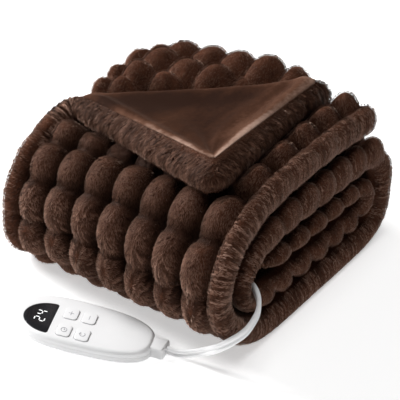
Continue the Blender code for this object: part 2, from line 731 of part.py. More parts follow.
def prism(name, outline, low, high, top_round=0.0, foot_round=0.0, segments=2):
    """A solid from a plan outline about its own origin, its upper and lower rims rounded."""
    bm = bmesh.new()
    face = bm.faces.new([bm.verts.new((x, y, low)) for x, y in outline])
    grown = bmesh.ops.extrude_face_region(bm, geom=[face])
    for item in grown["geom"]:
        if isinstance(item, bmesh.types.BMVert):
            item.co.z = high
    for height, radius in ((high, top_round), (low, foot_round)):
        if radius:
            rim = [edge for edge in bm.edges if all(abs(v.co.z - height) < 1e-6 for v in edge.verts)]
            bmesh.ops.bevel(bm, geom=rim, offset=radius, offset_type="OFFSET", segments=segments,
                            profile=0.5, affect="EDGES", material=-1, clamp_overlap=True)
    return mesh_from(bm, name)


def on_controller(name, mesh, collection, material=None, place=(0, 0, 0), lean=CONTROLLER_LEAN):
    """An object at a place of the controller, turned and slanted with it."""
    mesh.transform(lean)
    item = add_object(name, mesh, collection, material)
    item.matrix_world = controller_frame() @ Matrix.Translation(lean @ Vector(place))
    return item


def well(name, outline, low, place=(0, 0, 0)):
    return prism(name, outline, low, CUT_TOP - place[2])


def make_controller(collection, tools, shell, screen, key):
    base = on_controller("controller_base", prism("controller_base", body_outline(), 0, PARTING_HEIGHT,
                                                  foot_round=FOOT_ROUND), collection, shell)
    cover = on_controller("controller_cover", prism("controller_cover", body_outline(),
                                                    PARTING_HEIGHT + CLEARANCE, BODY_HEIGHT,
                                                    top_round=TOP_ROUND, segments=3), collection, shell)
    floor = BODY_HEIGHT - DISPLAY_DEPTH - CLEARANCE
    cut = on_controller("display_well", well("display_well", display_outline(CLEARANCE), floor), tools)
    combine(cover, as_cutter(cut), "DIFFERENCE")
    on_controller("display_window", prism("display_window", display_outline(), BODY_HEIGHT - DISPLAY_DEPTH,
                                          BODY_HEIGHT), collection, screen)
    outline = rounded_rectangle(KEY_LENGTH, KEY_WIDTH, KEY_CORNER)
    opening = rounded_rectangle(KEY_LENGTH + 2 * CLEARANCE, KEY_WIDTH + 2 * CLEARANCE, KEY_CORNER + CLEARANCE)
    for name, column, row in KEY_NAMES:
        place = (KEY_BLOCK_X + (column - 0.5) * KEY_PITCH_ALONG, FACE_SHIFT + (row - 0.5) * KEY_PITCH_ACROSS,
                 BODY_HEIGHT)
        cut = on_controller(name + "_well", well(name + "_well", opening, -KEY_WELL_DEPTH, place), tools,
                            place=place)
        combine(cover, as_cutter(cut), "DIFFERENCE")
        cap = prism(name, outline, -KEY_SUNK, KEY_PROUD, top_round=KEY_ROUND)
        on_controller(name, cap, collection, key, place)
    return base, cover


def boot_outline(margin=0.0):
    return rounded_rectangle(BOOT_LENGTH + 2 * margin, BOOT_WIDTH + 2 * margin, BOOT_CORNER)


def make_boot(collection, tools, material, housing):
    """Block where the lead enters the controller, let into the end of the housing."""
    place, upright = (BODY_LENGTH / 2 - BOOT_SUNK + BOOT_LENGTH / 2, 0, 0), Matrix.Identity(4)
    bed = prism("boot_bed", boot_outline(CLEARANCE), -CLEARANCE, BOOT_HEIGHT + CLEARANCE)
    cut = as_cutter(on_controller("boot_bed", bed, tools, place=place, lean=upright))
    for half in housing:
        combine(half, cut, "DIFFERENCE")
    block = prism("lead_boot", boot_outline(), 0, BOOT_HEIGHT, BOOT_ROUND, BOOT_FOOT_ROUND)
    return on_controller("lead_boot", block, collection, material, place, upright)


# ---------------------------------------------------------------- lead and its socket
def lead_route():
    """The route's points with the run into the boot, in metres."""
    end = BODY_LENGTH / 2 - BOOT_SUNK + BOOT_LENGTH + CLEARANCE
    run_in = [controller_frame() @ Vector((end + reach, 0, BOOT_HEIGHT / 2)) for reach in (LEAD_RUN_IN, 0.0)]
    return [Vector(point) * MM for point in LEAD_ROUTE] + run_in


def smooth_route(points, step):
    """Evenly spaced points on a smooth curve through the route's points."""
    table = np.array(points, float)
    dense = FoldPath.spline(table)
    run = np.concatenate(([0.0], np.cumsum(np.linalg.norm(np.diff(dense, axis=0), axis=1))))
    count = max(2, round(run[-1] / step))
    wanted = np.linspace(0, run[-1], count + 1)
    return [tuple(float(np.interp(w, run, dense[:, i])) for i in range(3)) for w in wanted]


def make_lead(collection, material):
    points = smooth_route(lead_route(), LEAD_STEP)
    curve = bpy.data.curves.new("lead", "CURVE")
    curve.dimensions = "3D"
    spline = curve.splines.new("POLY")
    spline.points.add(len(points) - 1)
    for target, point in zip(spline.points, points):
        target.co = (*point, 1)
    curve.bevel_depth = LEAD_WIDTH / 2
    curve.bevel_resolution = 3
    curve.use_fill_caps = True
    curve.materials.append(material)
    lead = bpy.data.objects.new("lead", curve)
    collection.objects.link(lead)
    return lead


def make_socket(collection, material):
    """Small moulded block in the hollow between the layers, from which the lead comes out."""
    start = Vector(LEAD_ROUTE[0]) * MM
    way = (Vector(LEAD_ROUTE[1]) * MM - start).normalized()
    bm = bmesh.new()
    bmesh.ops.create_cube(bm, size=1)
    bmesh.ops.scale(bm, verts=bm.verts, vec=(SOCKET_LENGTH, SOCKET_WIDTH, SOCKET_HEIGHT))
    bmesh.ops.bevel(bm, geom=bm.edges[:], offset=SOCKET_ROUND, offset_type="OFFSET", segments=2, profile=0.5,
                    affect="EDGES", material=-1, clamp_overlap=True)
    turn = way.to_track_quat("X", "Z").to_matrix().to_4x4()
    bm.transform(Matrix.Translation(start - way * (SOCKET_LENGTH / 2 + CLEARANCE)) @ turn)
    return add_object("lead_socket", mesh_from(bm, "lead_socket"), collection, material)


def shade(collection):
    for item in collection.objects:
        if item.type == "MESH":
            item.data.shade_smooth()
            item.data.set_sharp_from_angle(angle=math.radians(40))


def main():
    clear_scene()
    parts = new_collection("heated_throw")
    tools = new_collection("cutters")
    fur = principled("fur", FUR_COLOUR, 0.9)
    lining = principled("lining", LINING_COLOUR, 0.85)
    shell = principled("shell", SHELL_COLOUR, 0.35)
    screen = principled("screen", SCREEN_COLOUR, 0.2)
    key = principled("key", SHELL_COLOUR, 0.4)
    cable = principled("cable", SHELL_COLOUR, 0.45)
    fur_panel = make_fur_panel(parts, tools, fur)
    make_lining_panel(parts, tools, lining, fur_panel)
    housing = make_controller(parts, tools, shell, screen, key)
    make_boot(parts, tools, shell, housing)
    make_lead(parts, cable)
    make_socket(parts, shell)
    shade(parts)


main()
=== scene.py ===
"""Folded heated throw: dark brown bubble faux fur with a plush lining, and its white hand controller.

Metres, +Z up. +X is the side where the layers show, -Y the rounded front.
"""
import json
import math

import bpy
import bmesh
import numpy as np
from mathutils import Matrix, Vector

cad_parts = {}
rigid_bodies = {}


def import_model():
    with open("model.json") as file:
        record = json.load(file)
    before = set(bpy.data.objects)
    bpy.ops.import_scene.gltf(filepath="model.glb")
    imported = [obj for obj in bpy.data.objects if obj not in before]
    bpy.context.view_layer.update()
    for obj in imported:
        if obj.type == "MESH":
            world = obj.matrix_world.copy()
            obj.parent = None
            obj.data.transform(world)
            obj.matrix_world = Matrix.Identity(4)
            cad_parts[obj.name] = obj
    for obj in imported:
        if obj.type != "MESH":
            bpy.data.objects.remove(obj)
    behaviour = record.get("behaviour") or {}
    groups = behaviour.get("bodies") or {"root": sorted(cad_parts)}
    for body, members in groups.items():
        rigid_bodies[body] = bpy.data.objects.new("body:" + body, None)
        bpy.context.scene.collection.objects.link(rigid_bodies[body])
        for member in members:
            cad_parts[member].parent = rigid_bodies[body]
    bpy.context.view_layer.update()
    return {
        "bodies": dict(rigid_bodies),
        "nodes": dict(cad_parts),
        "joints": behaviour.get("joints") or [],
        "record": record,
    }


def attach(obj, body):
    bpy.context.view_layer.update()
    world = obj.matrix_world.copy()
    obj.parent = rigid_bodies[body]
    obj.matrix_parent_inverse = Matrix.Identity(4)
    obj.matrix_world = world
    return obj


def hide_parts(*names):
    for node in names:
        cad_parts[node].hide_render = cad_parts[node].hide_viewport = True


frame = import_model()

MM = 0.001
CLEARANCE = 0.3 * MM

# ---------------------------------------------------------------- cloth sizes
HALF_WIDTH = 155 * MM
HEM_WIDTH = 22 * MM
COLUMNS = 7
COLUMN_PITCH = 2 * (HALF_WIDTH - HEM_WIDTH) / COLUMNS
ROW_PITCH = 40 * MM
INNER_PITCH = 30 * MM        # rows of puffs on the inner layers and on the back that shows
VALLEY_SHARE = 0.26          # pile height left in the valley between two columns
CREASE_SHARE = 0.62          # pile height lost in the crease between two puffs of a column
PINCH_SHARE = 0.26           # width that a column loses at a crease
EDGE_SHIFT = 7 * MM          # the corner's weight pushes the top layer's last column outwards by this
EDGE_GROWTH = 0.22           # its puffs stand up by this share more
EDGE_CREASE = 0.24           # and the creases between them are this much deeper
EDGE_BAND = (76 * MM, 114 * MM)     # the stretch of the width over which this sets in
FRONT_CREASE = 0.72          # how deep the creases are on the round front, against those elsewhere
HEM_SHARE = 0.90             # hem roll's height over the pile's
HEM_SCALLOP = 0.5            # how much lower it is at a crease of the inner layers
HEM_BLEND = 0.72             # from here inwards the puffs grow out of it
PUFF_SPREAD = 0.07           # how much the puffs differ in height
PUFF_POWER = 2.2             # the higher, the flatter the middle of a puff and the steeper its sides
PUFF_ROOT = 0.6
PINCH_POWER = 3
CREASE_POWER = 2.4
ROW_WAVER = 0.06             # how far the creases waver, in rows
WAVER_LENGTH = 3.1 * ROW_PITCH      # length of that wave over 2 pi
SCALLOP_DEPTH = 7 * MM       # how far the creases draw in the edge of the inner layers
EDGE_LIP = 0.35 * MM         # half of the upright strip at the outermost edge of the cloth
COLUMN_STEPS = 12
ROW_STEP = 3.5 * MM

# Folded section of the lining side, from the top layer's free end to the innermost end. Millimetres:
# y and z at the right side (+X) and at the left side, the pile's height there, and how scalloped the edge is.
SECTION = (
    # station       right_y right_z left_y left_z right_pile left_pile scallop
    ("top_end",         108,   141,   108,   141,   35,   34,   0.25),
    ("top_back",         40,   149,    40,   138,   36,   33,   0.25),
    ("top_middle",      -20,   150,   -20,   132,   36,   29,   0.25),
    ("top_front",       -75,   148,   -64,   126,   36,   28,   0.25),
    ("nose_shoulder",  -118,   141,   -97,   115,   36,   28,   0.2),
    ("nose_brow",      -148,   126,  -117,    99,   33,   28,   0.1),
    ("nose_upper",     -166,   104,  -127,    80,   31,   28,   0),
    ("nose_face",      -171,    82,  -129,    62,   29,   28,   0),
    ("nose_lower",     -160,    58,  -130,    46,   28,   28,   0),
    ("nose_chin",      -135,    37,  -123,    33,   28,   28,   0),
    ("base_front",     -100,    26,  -103,    26,   28,   28,   0),
    ("base_middle",     -20,    25,   -20,    25,   28,   27,   0),
    ("base_back",        50,    25,    50,    25,   28,   27,   0),
    ("wrap_heel",        92,    26,    92,    26,   26,   26,   0),
    ("wrap_lower",      114,    34,   114,    34,   23,   23,   0),
    ("wrap_upper",      121,    55,   121,    55,   23,   23,   0),
    ("wrap_crown",      118,    80,   118,    80,   28,   28,   0.4),
    ("second_back",     100,    97,   100,    97,   38,   38,   0.6),
    ("second_rear",      60,   100,    60,   100,   41,   36,   0.6),
    ("second_middle",     0,   102,    10,    97,   41,   32,   0.6),
    ("second_fore",     -60,   104,   -40,    93,   38,   29,   0.6),
    ("second_front",   -105,   101,   -74,    87,   31,   25,   0.4),
    ("band_crown",      -130,   92,   -95,    78,   22,   19,   0),
    ("band_face",       -141,   78,  -103,    66,   18,   16,   0),
    ("band_chin",       -135,   66,   -98,    56,   17,   16,   0),
    ("fourth_front",   -113,    60,   -79,    52,   20,   18,   0.6),
    ("fourth_fore",     -70,    59,   -45,    51,   23,   20,   1),
    ("fourth_middle",     0,    59,     5,    53,   24,   22,   1),
    ("fourth_rear",      60,    59,    60,    57,   24,   23,   1),
    ("inner_heel",       82,    61,    82,    60,   23,   22,   1),
    ("inner_crown",      84,    70,    84,    69,   22,   21,   1),
    ("third_rear",       60,    74,    60,    72,   22,   20,   1),
    ("third_middle",      0,    74,    10,    68,   23,   19,   1),
    ("third_fore",      -60,    75,   -32,    68,   22,   18,   1),
    ("third_end",      -108,    75,   -60,    66,   19,   16,   1),
)
SPLINE_STEPS = 14

# The exposed back of the second layer stands up more than the part that the top layer presses down.
EXPOSED_LIFT = 14 * MM
EXPOSED_SLANT = 0.113         # the right side of it stands higher than the left
EXPOSED_SLANT_FROM = -131 * MM
EXPOSED_SWELL = 16 * MM
EXPOSED_SPREAD = 22 * MM
EXPOSED_VALLEY = 0.30
EXPOSED_REACH = 42 * MM
EXPOSED_LEFT = 8 * MM         # how much more its leftmost column stands up
EXPOSED_FROM = 4 * MM         # it sets in this far behind the fold line,
EXPOSED_BAND = (75 * MM, 100 * MM)    # and over these heights
EXPOSED_SIDES = (0.1, 0.45)   # how much less the left and the right end of it stand up
EXPOSED_SIDES_FROM = 115 * MM
EXPOSED_SPREAD_BAND = (40 * MM, 110 * MM)     # towards the rear it spreads backwards as well
EXPOSED_LEFT_BAND = (70 * MM, 120 * MM)
EXPOSED_REAR_BAND = (90 * MM, 125 * MM)       # where its leftmost column falls to the rear again
EXPOSED_REAR_FALL = 1.6

# ---------------------------------------------------------------- turned-over corner
FOLD_LEFT = Vector((-155 * MM, -44 * MM))
FOLD_RIGHT = Vector((100 * MM, 103 * MM))
FOLD_APEX = Vector((118 * MM, -152 * MM))
FOLD_LEFT_TOP = 157 * MM
FOLD_RIGHT_TOP = 197 * MM
FOLD_APEX_TOP = 193 * MM
FLAP_THICKNESS = 19 * MM
FLAP_HEM_WIDTH = 24 * MM
FLAP_HEM_ROUND = 13 * MM
FLAP_RIDGE = 5 * MM
FLAP_RIDGE_SPREAD = 9 * MM
FLAP_SAG = 5 * MM
FLAP_GAP = 2 * MM
FLAP_STEP = 4 * MM
APEX_RADIUS = 20 * MM
FOLD_END_RADIUS = 10 * MM
PRESS_SOFTNESS = 6 * MM      # how gradually the pile gives way where the corner lies on it
PRESS_RISE = 1.4             # how steeply the room above the pile grows beside the corner
CORNERS = (FOLD_LEFT, FOLD_RIGHT, FOLD_APEX)
# Lines of the corner's net beside its edges, millimetres.
FLAP_LINES = (0.4, 1.4, 3, 5, 8, 12, 16, 21, 24.5)

# Where the left hem rolls over the fold and becomes the corner's edge, millimetres.
HEM_TURN_ROUTE = (
    (-143, -104, 122),
    (-144, -78, 134),
    (-143, -58, 141),
    (-138, -45, 145),
    (-127, -42, 147),
    (-110, -48, 149),
    (-90, -56, 150),
)
HEM_TURN_RADIUS = 12.5 * MM
HEM_TURN_STEP = 4 * MM
LINING_THICKNESS = 2 * MM
LINING_LOW = -1.2 * MM
LINING_TIP = 0.985
LINING_WRAP = math.radians(150)
LINING_INSET = 21 * MM
LINING_ROWS_WRAP = 16
LINING_ROWS_TOP = 60
LINING_COLUMNS = 80
# Soft folds of the lining: place across, how far it wanders down the corner, width, height in millimetres.
LINING_RIDGES = (
    (0.30, 0.30, 0.09, 1.3),
    (0.52, -0.10, 0.07, -1.0),
    (0.72, -0.45, 0.06, 1.4),
)
LINING_RIM = 1.5 * MM        # how far its edge rolls up

# ---------------------------------------------------------------- pile sizes
SKIN_SHARE = 0.32            # the cloth under the pile lies this share of its length below its tips
SKIN_LOWEST = 0.5 * MM       # over the table
PUFF_PILE = 4.2 * MM
LOOSE_PILE = 5.5 * MM        # low on the front, where the pile is combed down
HEM_PILE = 5.5 * MM
CORNER_PILE = 6.5 * MM
FLOOR_SHARE = 0.35           # the pile's length left where the cloth lies on the table
LINING_BED = 3.5 * MM        # how deep the lining lies in the corner's fur
HIDDEN_SIDE = 48 * MM        # how far in from the ends the inner layers show
LOOSE_LEAST = 0.12           # how loosely the pile lies on top,
LOOSE_FRONT = 0.8            # low on the front,
LOOSE_HEM = 0.75             # on the hems,
LOOSE_UNDER = 0.8            # and under the corner's edge
LOCK_WIDTH = 1.6 * MM        # a combed lock of pile, across and along the way it is combed
LOCK_LENGTH = 10 * MM
LOCK_REACH = 8 * MM          # tips further than this from their lock's middle stay apart
DROOP = 0.5                  # how far the pile low on the front hangs down as well as outwards
FAN = 0.6                    # how far the pile of a puff is combed outwards to its sides
FAN_FRONT = 0.5              # and how much more on the front
BLADE_WIDTH = 0.52 * MM
BLADE_RISE = 0.8             # how steeply a blade stands,
BLADE_LIE = 0.50             # and how much less where the pile is loose
BLADE_STRAY = 0.10           # how far blades and locks stray from their way
BLADE_BEND = 0.52            # place of its bend along it
LOCK_SHADE = 0.34            # how much a leaning lock catches the light
TONE = 0.60                  # how light a blade is, with differences between locks and between blades
TONE_OF_LOCK = 0.85
TONE_OF_BLADE = 0.14
TONE_OF_ROOT = 0.12
PAINTED_SHADE_IN_CREASE = 0.03        # painted shade: a blade keeps only this share of its lightness deep between the puffs, where shade falls

# Pieces of the panel's pile: blades, seed of their places, and the box that each fills, in millimetres.
FAR = 1000
PILES = (
    ("pile_front_low", 68000, 1, (-120, -FAR, -FAR), (120, -60, 90)),
    ("pile_front_high", 70000, 6, (-120, -FAR, 90), (120, -60, FAR)),
    ("pile_back", 60000, 2, (-120, -60, -FAR), (120, FAR, FAR)),
    ("pile_right", 92000, 3, (120, -FAR, -FAR), (FAR, FAR, FAR)),
    ("pile_left", 43000, 4, (-FAR, -FAR, -FAR), (-120, FAR, FAR)),
)
CORNER_BLADES = 49000
CORNER_SEED = 5

# ---------------------------------------------------------------- controller sizes
CONTROLLER_CENTRE = Vector((-1.6 * MM, -203.6 * MM, 0))
CONTROLLER_TURN = math.radians(11.7)
CONTROLLER_LEAN = Matrix.Shear("XZ", 4, (-0.2, 0))     # its plan slants: the far side lies further left
BODY_LENGTH = 148 * MM
BODY_WIDTH = 76 * MM
BODY_HEIGHT = 14.5 * MM
BODY_EXPONENT = 2.9
BODY_TAPER = 0.14
PARTING_HEIGHT = 6 * MM
TOP_ROUND = 4.5 * MM
FOOT_ROUND = 2.5 * MM
FACE_SHIFT = -6.5 * MM        # the window and the keys sit a little towards the near side
DISPLAY_LENGTH = 33 * MM
DISPLAY_WIDTH = 47 * MM
DISPLAY_EDGE_X = -35 * MM
DISPLAY_CORNER = 2.5 * MM
DISPLAY_DEPTH = 1.6 * MM
KEY_LENGTH = 15.5 * MM
KEY_WIDTH = 18 * MM
KEY_CORNER = 4 * MM
KEY_PROUD = 1.0 * MM
KEY_ROUND = 0.8 * MM
KEY_SUNK = 2.5 * MM
KEY_WELL_DEPTH = 4.1 * MM
KEY_PITCH_ALONG = 20.4 * MM
KEY_PITCH_ACROSS = 27.5 * MM
KEY_BLOCK_X = -8.6 * MM
KEY_NAMES = (("key_warmer", 0, 1), ("key_cooler", 1, 1), ("key_timer", 0, 0), ("key_power", 1, 0))
BOOT_LENGTH = 18 * MM
BOOT_WIDTH = 20 * MM
BOOT_HEIGHT = 12 * MM
BOOT_ROUND = 2 * MM
BOOT_FOOT_ROUND = 1 * MM
BOOT_SUNK = 4 * MM
BOOT_CORNER = 3 * MM
PILLOW = 1.3 * MM            # how far the housing's top falls towards its rim
PILLOW_POWER = 4             # the higher, the flatter its middle
PARTING_ROUND = 0.15 * MM
RING_SHARES = (0.2, 0.3, 0.42, 0.56, 0.72, 0.9)     # rings of the housing's top, from its rim inwards
GLASS_ROUND = 0.35 * MM
READING = "24"
NUMERAL_STEP = 5.6 * MM
NUMERAL_GAP = 0.9 * MM
NUMERAL_WIDTH = 0.95 * MM
NUMERAL_PITCH = 10.5 * MM
NUMERAL_FOOT_X = -43.5 * MM
MARK_WIDTH = 0.55 * MM

# ---------------------------------------------------------------- lead
LEAD_STEP = 3 * MM
STRAND_RADIUS = 2.35 * MM
STRAND_OFFSET = 2.45 * MM
STRAND_ARC = 1.6             # how far round each strand goes before it meets the other, in half turns
# Route of the lead's middle line from the socket in the cloth to just before the boot, millimetres.
LEAD_ROUTE = (
    (139, -126, 75),
    (150, -130, 74),
    (161, -139, 70),
    (168, -151, 65.5),
    (170, -163, 61),
    (167.5, -174, 54),
    (157, -183, 44),
    (143, -184.5, 32),
    (128.5, -181, 20.5),
    (113.5, -180.5, 11.5),
)
LEAD_RUN_IN = 13 * MM        # straight stretch before the boot
SOCKET_LENGTH = 20 * MM
SOCKET_WIDTH = 15 * MM
SOCKET_HEIGHT = 11 * MM
SOCKET_ROUND = 2 * MM

# ---------------------------------------------------------------- view
LENS = 144
SENSOR = 36
VIEW_TURN = math.radians(34.7)
VIEW_RISE = math.radians(31.5)
VIEW_PLACE = (0.83382, -1.20996, 0.95701)
LIT_POINT = (0, -0.05, 0.08)


# ---------------------------------------------------------------- shape functions
def smooth(value, low, high):
    """0 up to low, 1 from high on, and a soft passage between."""
    share = min(max((value - low) / (high - low), 0.0), 1.0)
    return share * share * (3 - 2 * share)


def quarter_round(distance, radius):
    """0 at the edge, 1 from radius inwards, along a quarter circle."""
    share = min(max(distance / radius, 0.0), 1.0)
    return math.sqrt(1 - (1 - share) ** 2)


def uneven(column, row, seed):
    """A fixed value between -1 and 1 for each puff."""
    value = math.sin(column * 12.9898 + row * 78.233 + seed * 37.719) * 43758.5453
    return 2 * (value - math.floor(value)) - 1


class FoldPath:
    """The folded section as smooth curves over the cloth's length."""

    def __init__(self):
        table = np.array([row[1:] for row in SECTION], float)
        table[:, :6] *= MM
        self.rows = self.spline(table)
        steps = np.diff(self.rows, axis=0)
        right = np.hypot(steps[:, 0], steps[:, 1])
        left = np.hypot(steps[:, 2], steps[:, 3])
        self.length_at = np.concatenate(([0.0], np.cumsum((right + left) / 2)))
        self.length = float(self.length_at[-1])
        station = [row[0] for row in SECTION]
        self.station_length = {name: self.length_at[i * SPLINE_STEPS] for i, name in enumerate(station)}

    @staticmethod
    def spline(table):
        """Catmull-Rom curve through the table's rows."""
        padded = np.vstack((2 * table[0] - table[1], table, 2 * table[-1] - table[-2]))
        rows = []
        for i in range(1, len(padded) - 2):
            a, b, c, d = padded[i - 1:i + 3]
            for step in range(SPLINE_STEPS):
                t = step / SPLINE_STEPS
                rows.append(b + 0.5 * t * ((c - a) + t * ((2 * a - 5 * b + 4 * c - d)
                                                          + t * (3 * (b - c) + d - a))))
        rows.append(table[-1])
        return np.array(rows)

    def read(self, length, column):
        return float(np.interp(length, self.length_at, self.rows[:, column]))

    def section(self, x, length):
        """y and z of the lining side, for a width position and a length along the cloth."""
        share = (x / HALF_WIDTH + 1) / 2
        right = self.read(length, 0), self.read(length, 1)
        left = self.read(length, 2), self.read(length, 3)
        return left[0] + (right[0] - left[0]) * share, left[1] + (right[1] - left[1]) * share

    def normal(self, x, length):
        span = 3 * MM
        low, high = max(length - span, 0.0), min(length + span, self.length)
        start, end = self.section(x, low), self.section(x, high)
        run, rise = end[0] - start[0], end[1] - start[1]
        size = math.hypot(run, rise)
        return rise / size, -run / size

    def pile(self, x, length):
        share = (x / HALF_WIDTH + 1) / 2
        return self.read(length, 5) + (self.read(length, 4) - self.read(length, 5)) * share

    def scallop(self, length):
        return self.read(length, 6)

    def top_lining_height(self, x, y):
        """Height of the top layer's lining side above a point of the plan."""
        last = int(np.searchsorted(self.length_at, self.station_length["nose_face"]))
        share = (x / HALF_WIDTH + 1) / 2
        across = self.rows[:last, 2] + (self.rows[:last, 0] - self.rows[:last, 2]) * share
        height = self.rows[:last, 3] + (self.rows[:last, 1] - self.rows[:last, 3]) * share
        return float(np.interp(-y, -across, height))


PATH = FoldPath()
FOLD_ALONG = (FOLD_RIGHT - FOLD_LEFT).normalized()
FOLD_INTO = Vector((FOLD_ALONG.y, -FOLD_ALONG.x))      # from the fold line towards the apex


def edge_distance(point, start, end, inside):
    """Distance of a plan point from the line start-end, positive on the side where inside lies."""
    along = (end - start).normalized()
    across = Vector((-along.y, along.x))
    if across.dot(inside - start) < 0:
        across = -across
    return across.dot(point - start)


def flap_distances(x, y):
    """Distances of a plan point from the fold line and from the corner's left and right edges."""
    point = Vector((x, y))
    fold = FOLD_INTO.dot(point - FOLD_LEFT)
    left = edge_distance(point, FOLD_LEFT, FOLD_APEX, FOLD_RIGHT)
    right = edge_distance(point, FOLD_RIGHT, FOLD_APEX, FOLD_LEFT)
    return fold, left, right


def flap_top(x, y):
    """Height of the turned-over corner's upper side, before its edges are rounded."""
    fold, left, right = flap_distances(x, y)
    apex_share = fold / FOLD_INTO.dot(FOLD_APEX - FOLD_LEFT)
    right_share = left / edge_distance(FOLD_RIGHT, FOLD_LEFT, FOLD_APEX, FOLD_RIGHT)
    left_share = 1 - apex_share - right_share
    plane = left_share * FOLD_LEFT_TOP + right_share * FOLD_RIGHT_TOP + apex_share * FOLD_APEX_TOP
    inner = min(left, right)
    ridge = FLAP_RIDGE * math.exp(-((inner - LINING_INSET) / FLAP_RIDGE_SPREAD) ** 2)
    sag = FLAP_SAG * smooth(inner, FLAP_HEM_WIDTH, 70 * MM) * smooth(fold, 0.0, 50 * MM)
    return plane + ridge * smooth(fold, 0.0, 30 * MM) - sag


def fold_radius(x, y):
    """Radius of the turn that the cloth makes at the fold."""
    return (flap_top(x, y) - PATH.top_lining_height(x, y)) / 2


# ---------------------------------------------------------------- fur panel
def row_at(length):
    """Number of the row of puffs at a length along the cloth, whole in the middle of a row."""
    start, turn = PATH.station_length["base_middle"] + 20 * MM, PATH.station_length["wrap_crown"]
    return (min(length, turn) - start) / ROW_PITCH + max(length - turn, 0.0) / INNER_PITCH


def puff_height(x, length, pile, valley):
    """Height of the fur face over the lining side, away from the hems."""
    beside = 1 - smooth(length, PATH.station_length["nose_shoulder"], PATH.station_length["nose_face"])
    beside *= smooth(x, *EDGE_BAND)
    columns = (x - EDGE_SHIFT * beside) / COLUMN_PITCH
    column = round(columns)
    rows = row_at(length) + ROW_WAVER * math.sin(length / WAVER_LENGTH + column)
    row = round(rows)
    across = 2 * (columns - column)
    along = 2 * (rows - row)
    size = 1 + PUFF_SPREAD * uneven(column, row, 1) + EDGE_GROWTH * beside
    pinch = 1 - PINCH_SHARE * abs(along) ** PINCH_POWER
    dome = max(0.0, 1 - (abs(across) / pinch) ** PUFF_POWER) ** PUFF_ROOT
    front = smooth(length, PATH.station_length["nose_brow"], PATH.station_length["nose_face"])
    front *= 1 - smooth(length, PATH.station_length["base_front"], PATH.station_length["base_middle"])
    depth = CREASE_SHARE * (1 - (1 - FRONT_CREASE) * front) + EDGE_CREASE * beside
    crease = 1 - depth * abs(along) ** CREASE_POWER
    return pile * (valley + (size - valley) * dome * crease)


def row_bump(length):
    """1 at the middle of a row of puffs, 0 at the crease between two rows."""
    rows = row_at(length)
    return 1 - abs(2 * (rows - round(rows))) ** PUFF_POWER


def rounded_corner(side, end):
    """Plan distance from the cloth's rounded outline, and the share by which a corner point draws in."""
    reach_side, reach_end = max(HEM_WIDTH - side, 0.0), max(HEM_WIDTH - end, 0.0)
    far = math.hypot(reach_side, reach_end)
    if far == 0 or min(reach_side, reach_end) == 0:
        return HEM_WIDTH - max(reach_side, reach_end), 1.0
    return HEM_WIDTH - max(reach_side, reach_end), max(reach_side, reach_end) / far


def exposed_share(x, y, z):
    """How freely the second layer's back stands up behind the fold line."""
    behind = -FOLD_INTO.dot(Vector((x, y)) - FOLD_LEFT)
    middle = 1 - EXPOSED_SIDES[x > 0] * smooth(abs(x), EXPOSED_SIDES_FROM, HALF_WIDTH)
    return smooth(behind, EXPOSED_FROM, EXPOSED_REACH) * smooth(z, *EXPOSED_BAND) * middle


def cloth_point(x, length, upper):
    """World place of a point of the flat fur panel: lower side is the lining's, upper side the fur's."""
    side = HALF_WIDTH - abs(x)
    end = min(length, PATH.length - length)
    edge, draw = rounded_corner(side, end)
    if draw < 1:
        side = HEM_WIDTH - (HEM_WIDTH - side) * draw
        end = HEM_WIDTH - (HEM_WIDTH - end) * draw
        x = math.copysign(HALF_WIDTH - side, x)
        length = end if length < PATH.length / 2 else PATH.length - end
    pile = PATH.pile(x, length)
    y, z = PATH.section(x, length)
    out_y, out_z = PATH.normal(x, length)
    exposed = 0.0
    if PATH.station_length["wrap_upper"] < length < PATH.station_length["second_front"]:
        exposed = exposed_share(x, y, z)
    y += EXPOSED_SPREAD * exposed * smooth(y, *EXPOSED_SPREAD_BAND)
    left = smooth(-x, *EXPOSED_LEFT_BAND) * (1 - EXPOSED_REAR_FALL * smooth(y, *EXPOSED_REAR_BAND))
    z += (EXPOSED_LIFT + EXPOSED_SLANT * (x - EXPOSED_SLANT_FROM) + EXPOSED_LEFT * left) * exposed
    pile += EXPOSED_SWELL * exposed
    scallop = PATH.scallop(length) * (1 - row_bump(length))
    hem = HEM_SHARE * pile * (1 - HEM_SCALLOP * scallop)
    half = HEM_WIDTH / 2
    if edge < half:
        swell = quarter_round(edge, half)
        height = hem / 2 + (hem / 2 * swell + EDGE_LIP) * (1 if upper else -1)
    elif upper:
        ridge = hem / 2 * (1 + math.sqrt(max(0.0, 1 - ((edge - half) / half) ** 2)))
        height = ridge if edge < HEM_WIDTH else 0.0
        if edge > HEM_BLEND * HEM_WIDTH:
            valley = VALLEY_SHARE + EXPOSED_VALLEY * exposed
            height = max(height * smooth(2 * HEM_WIDTH - edge, 0.0, HEM_WIDTH),
                         puff_height(x, length, pile, valley))
    else:
        height = 0.0
    if upper and length < PATH.station_length["nose_brow"]:
        height = pressed(height, room_under_flap(x, y, z))
    x -= math.copysign(SCALLOP_DEPTH * scallop * smooth(HEM_WIDTH - edge, 0.0, HEM_WIDTH), x)
    return x, y + out_y * height, max(z + out_z * height, 0.0)


def pressed(height, room):
    """The lesser of the two, with a soft passage between them."""
    blend = math.log(math.exp(-height / PRESS_SOFTNESS) + math.exp(-room / PRESS_SOFTNESS))
    return min(-PRESS_SOFTNESS * blend, height, room)


def room_under_flap(x, y, z):
    """Height that the turned-over corner leaves the top layer's pile."""
    _, left, right = flap_distances(x, y)
    outside = max(-left, -right, 0.0)
    return flap_top(x, y) - FLAP_THICKNESS - FLAP_GAP - z + PRESS_RISE * outside


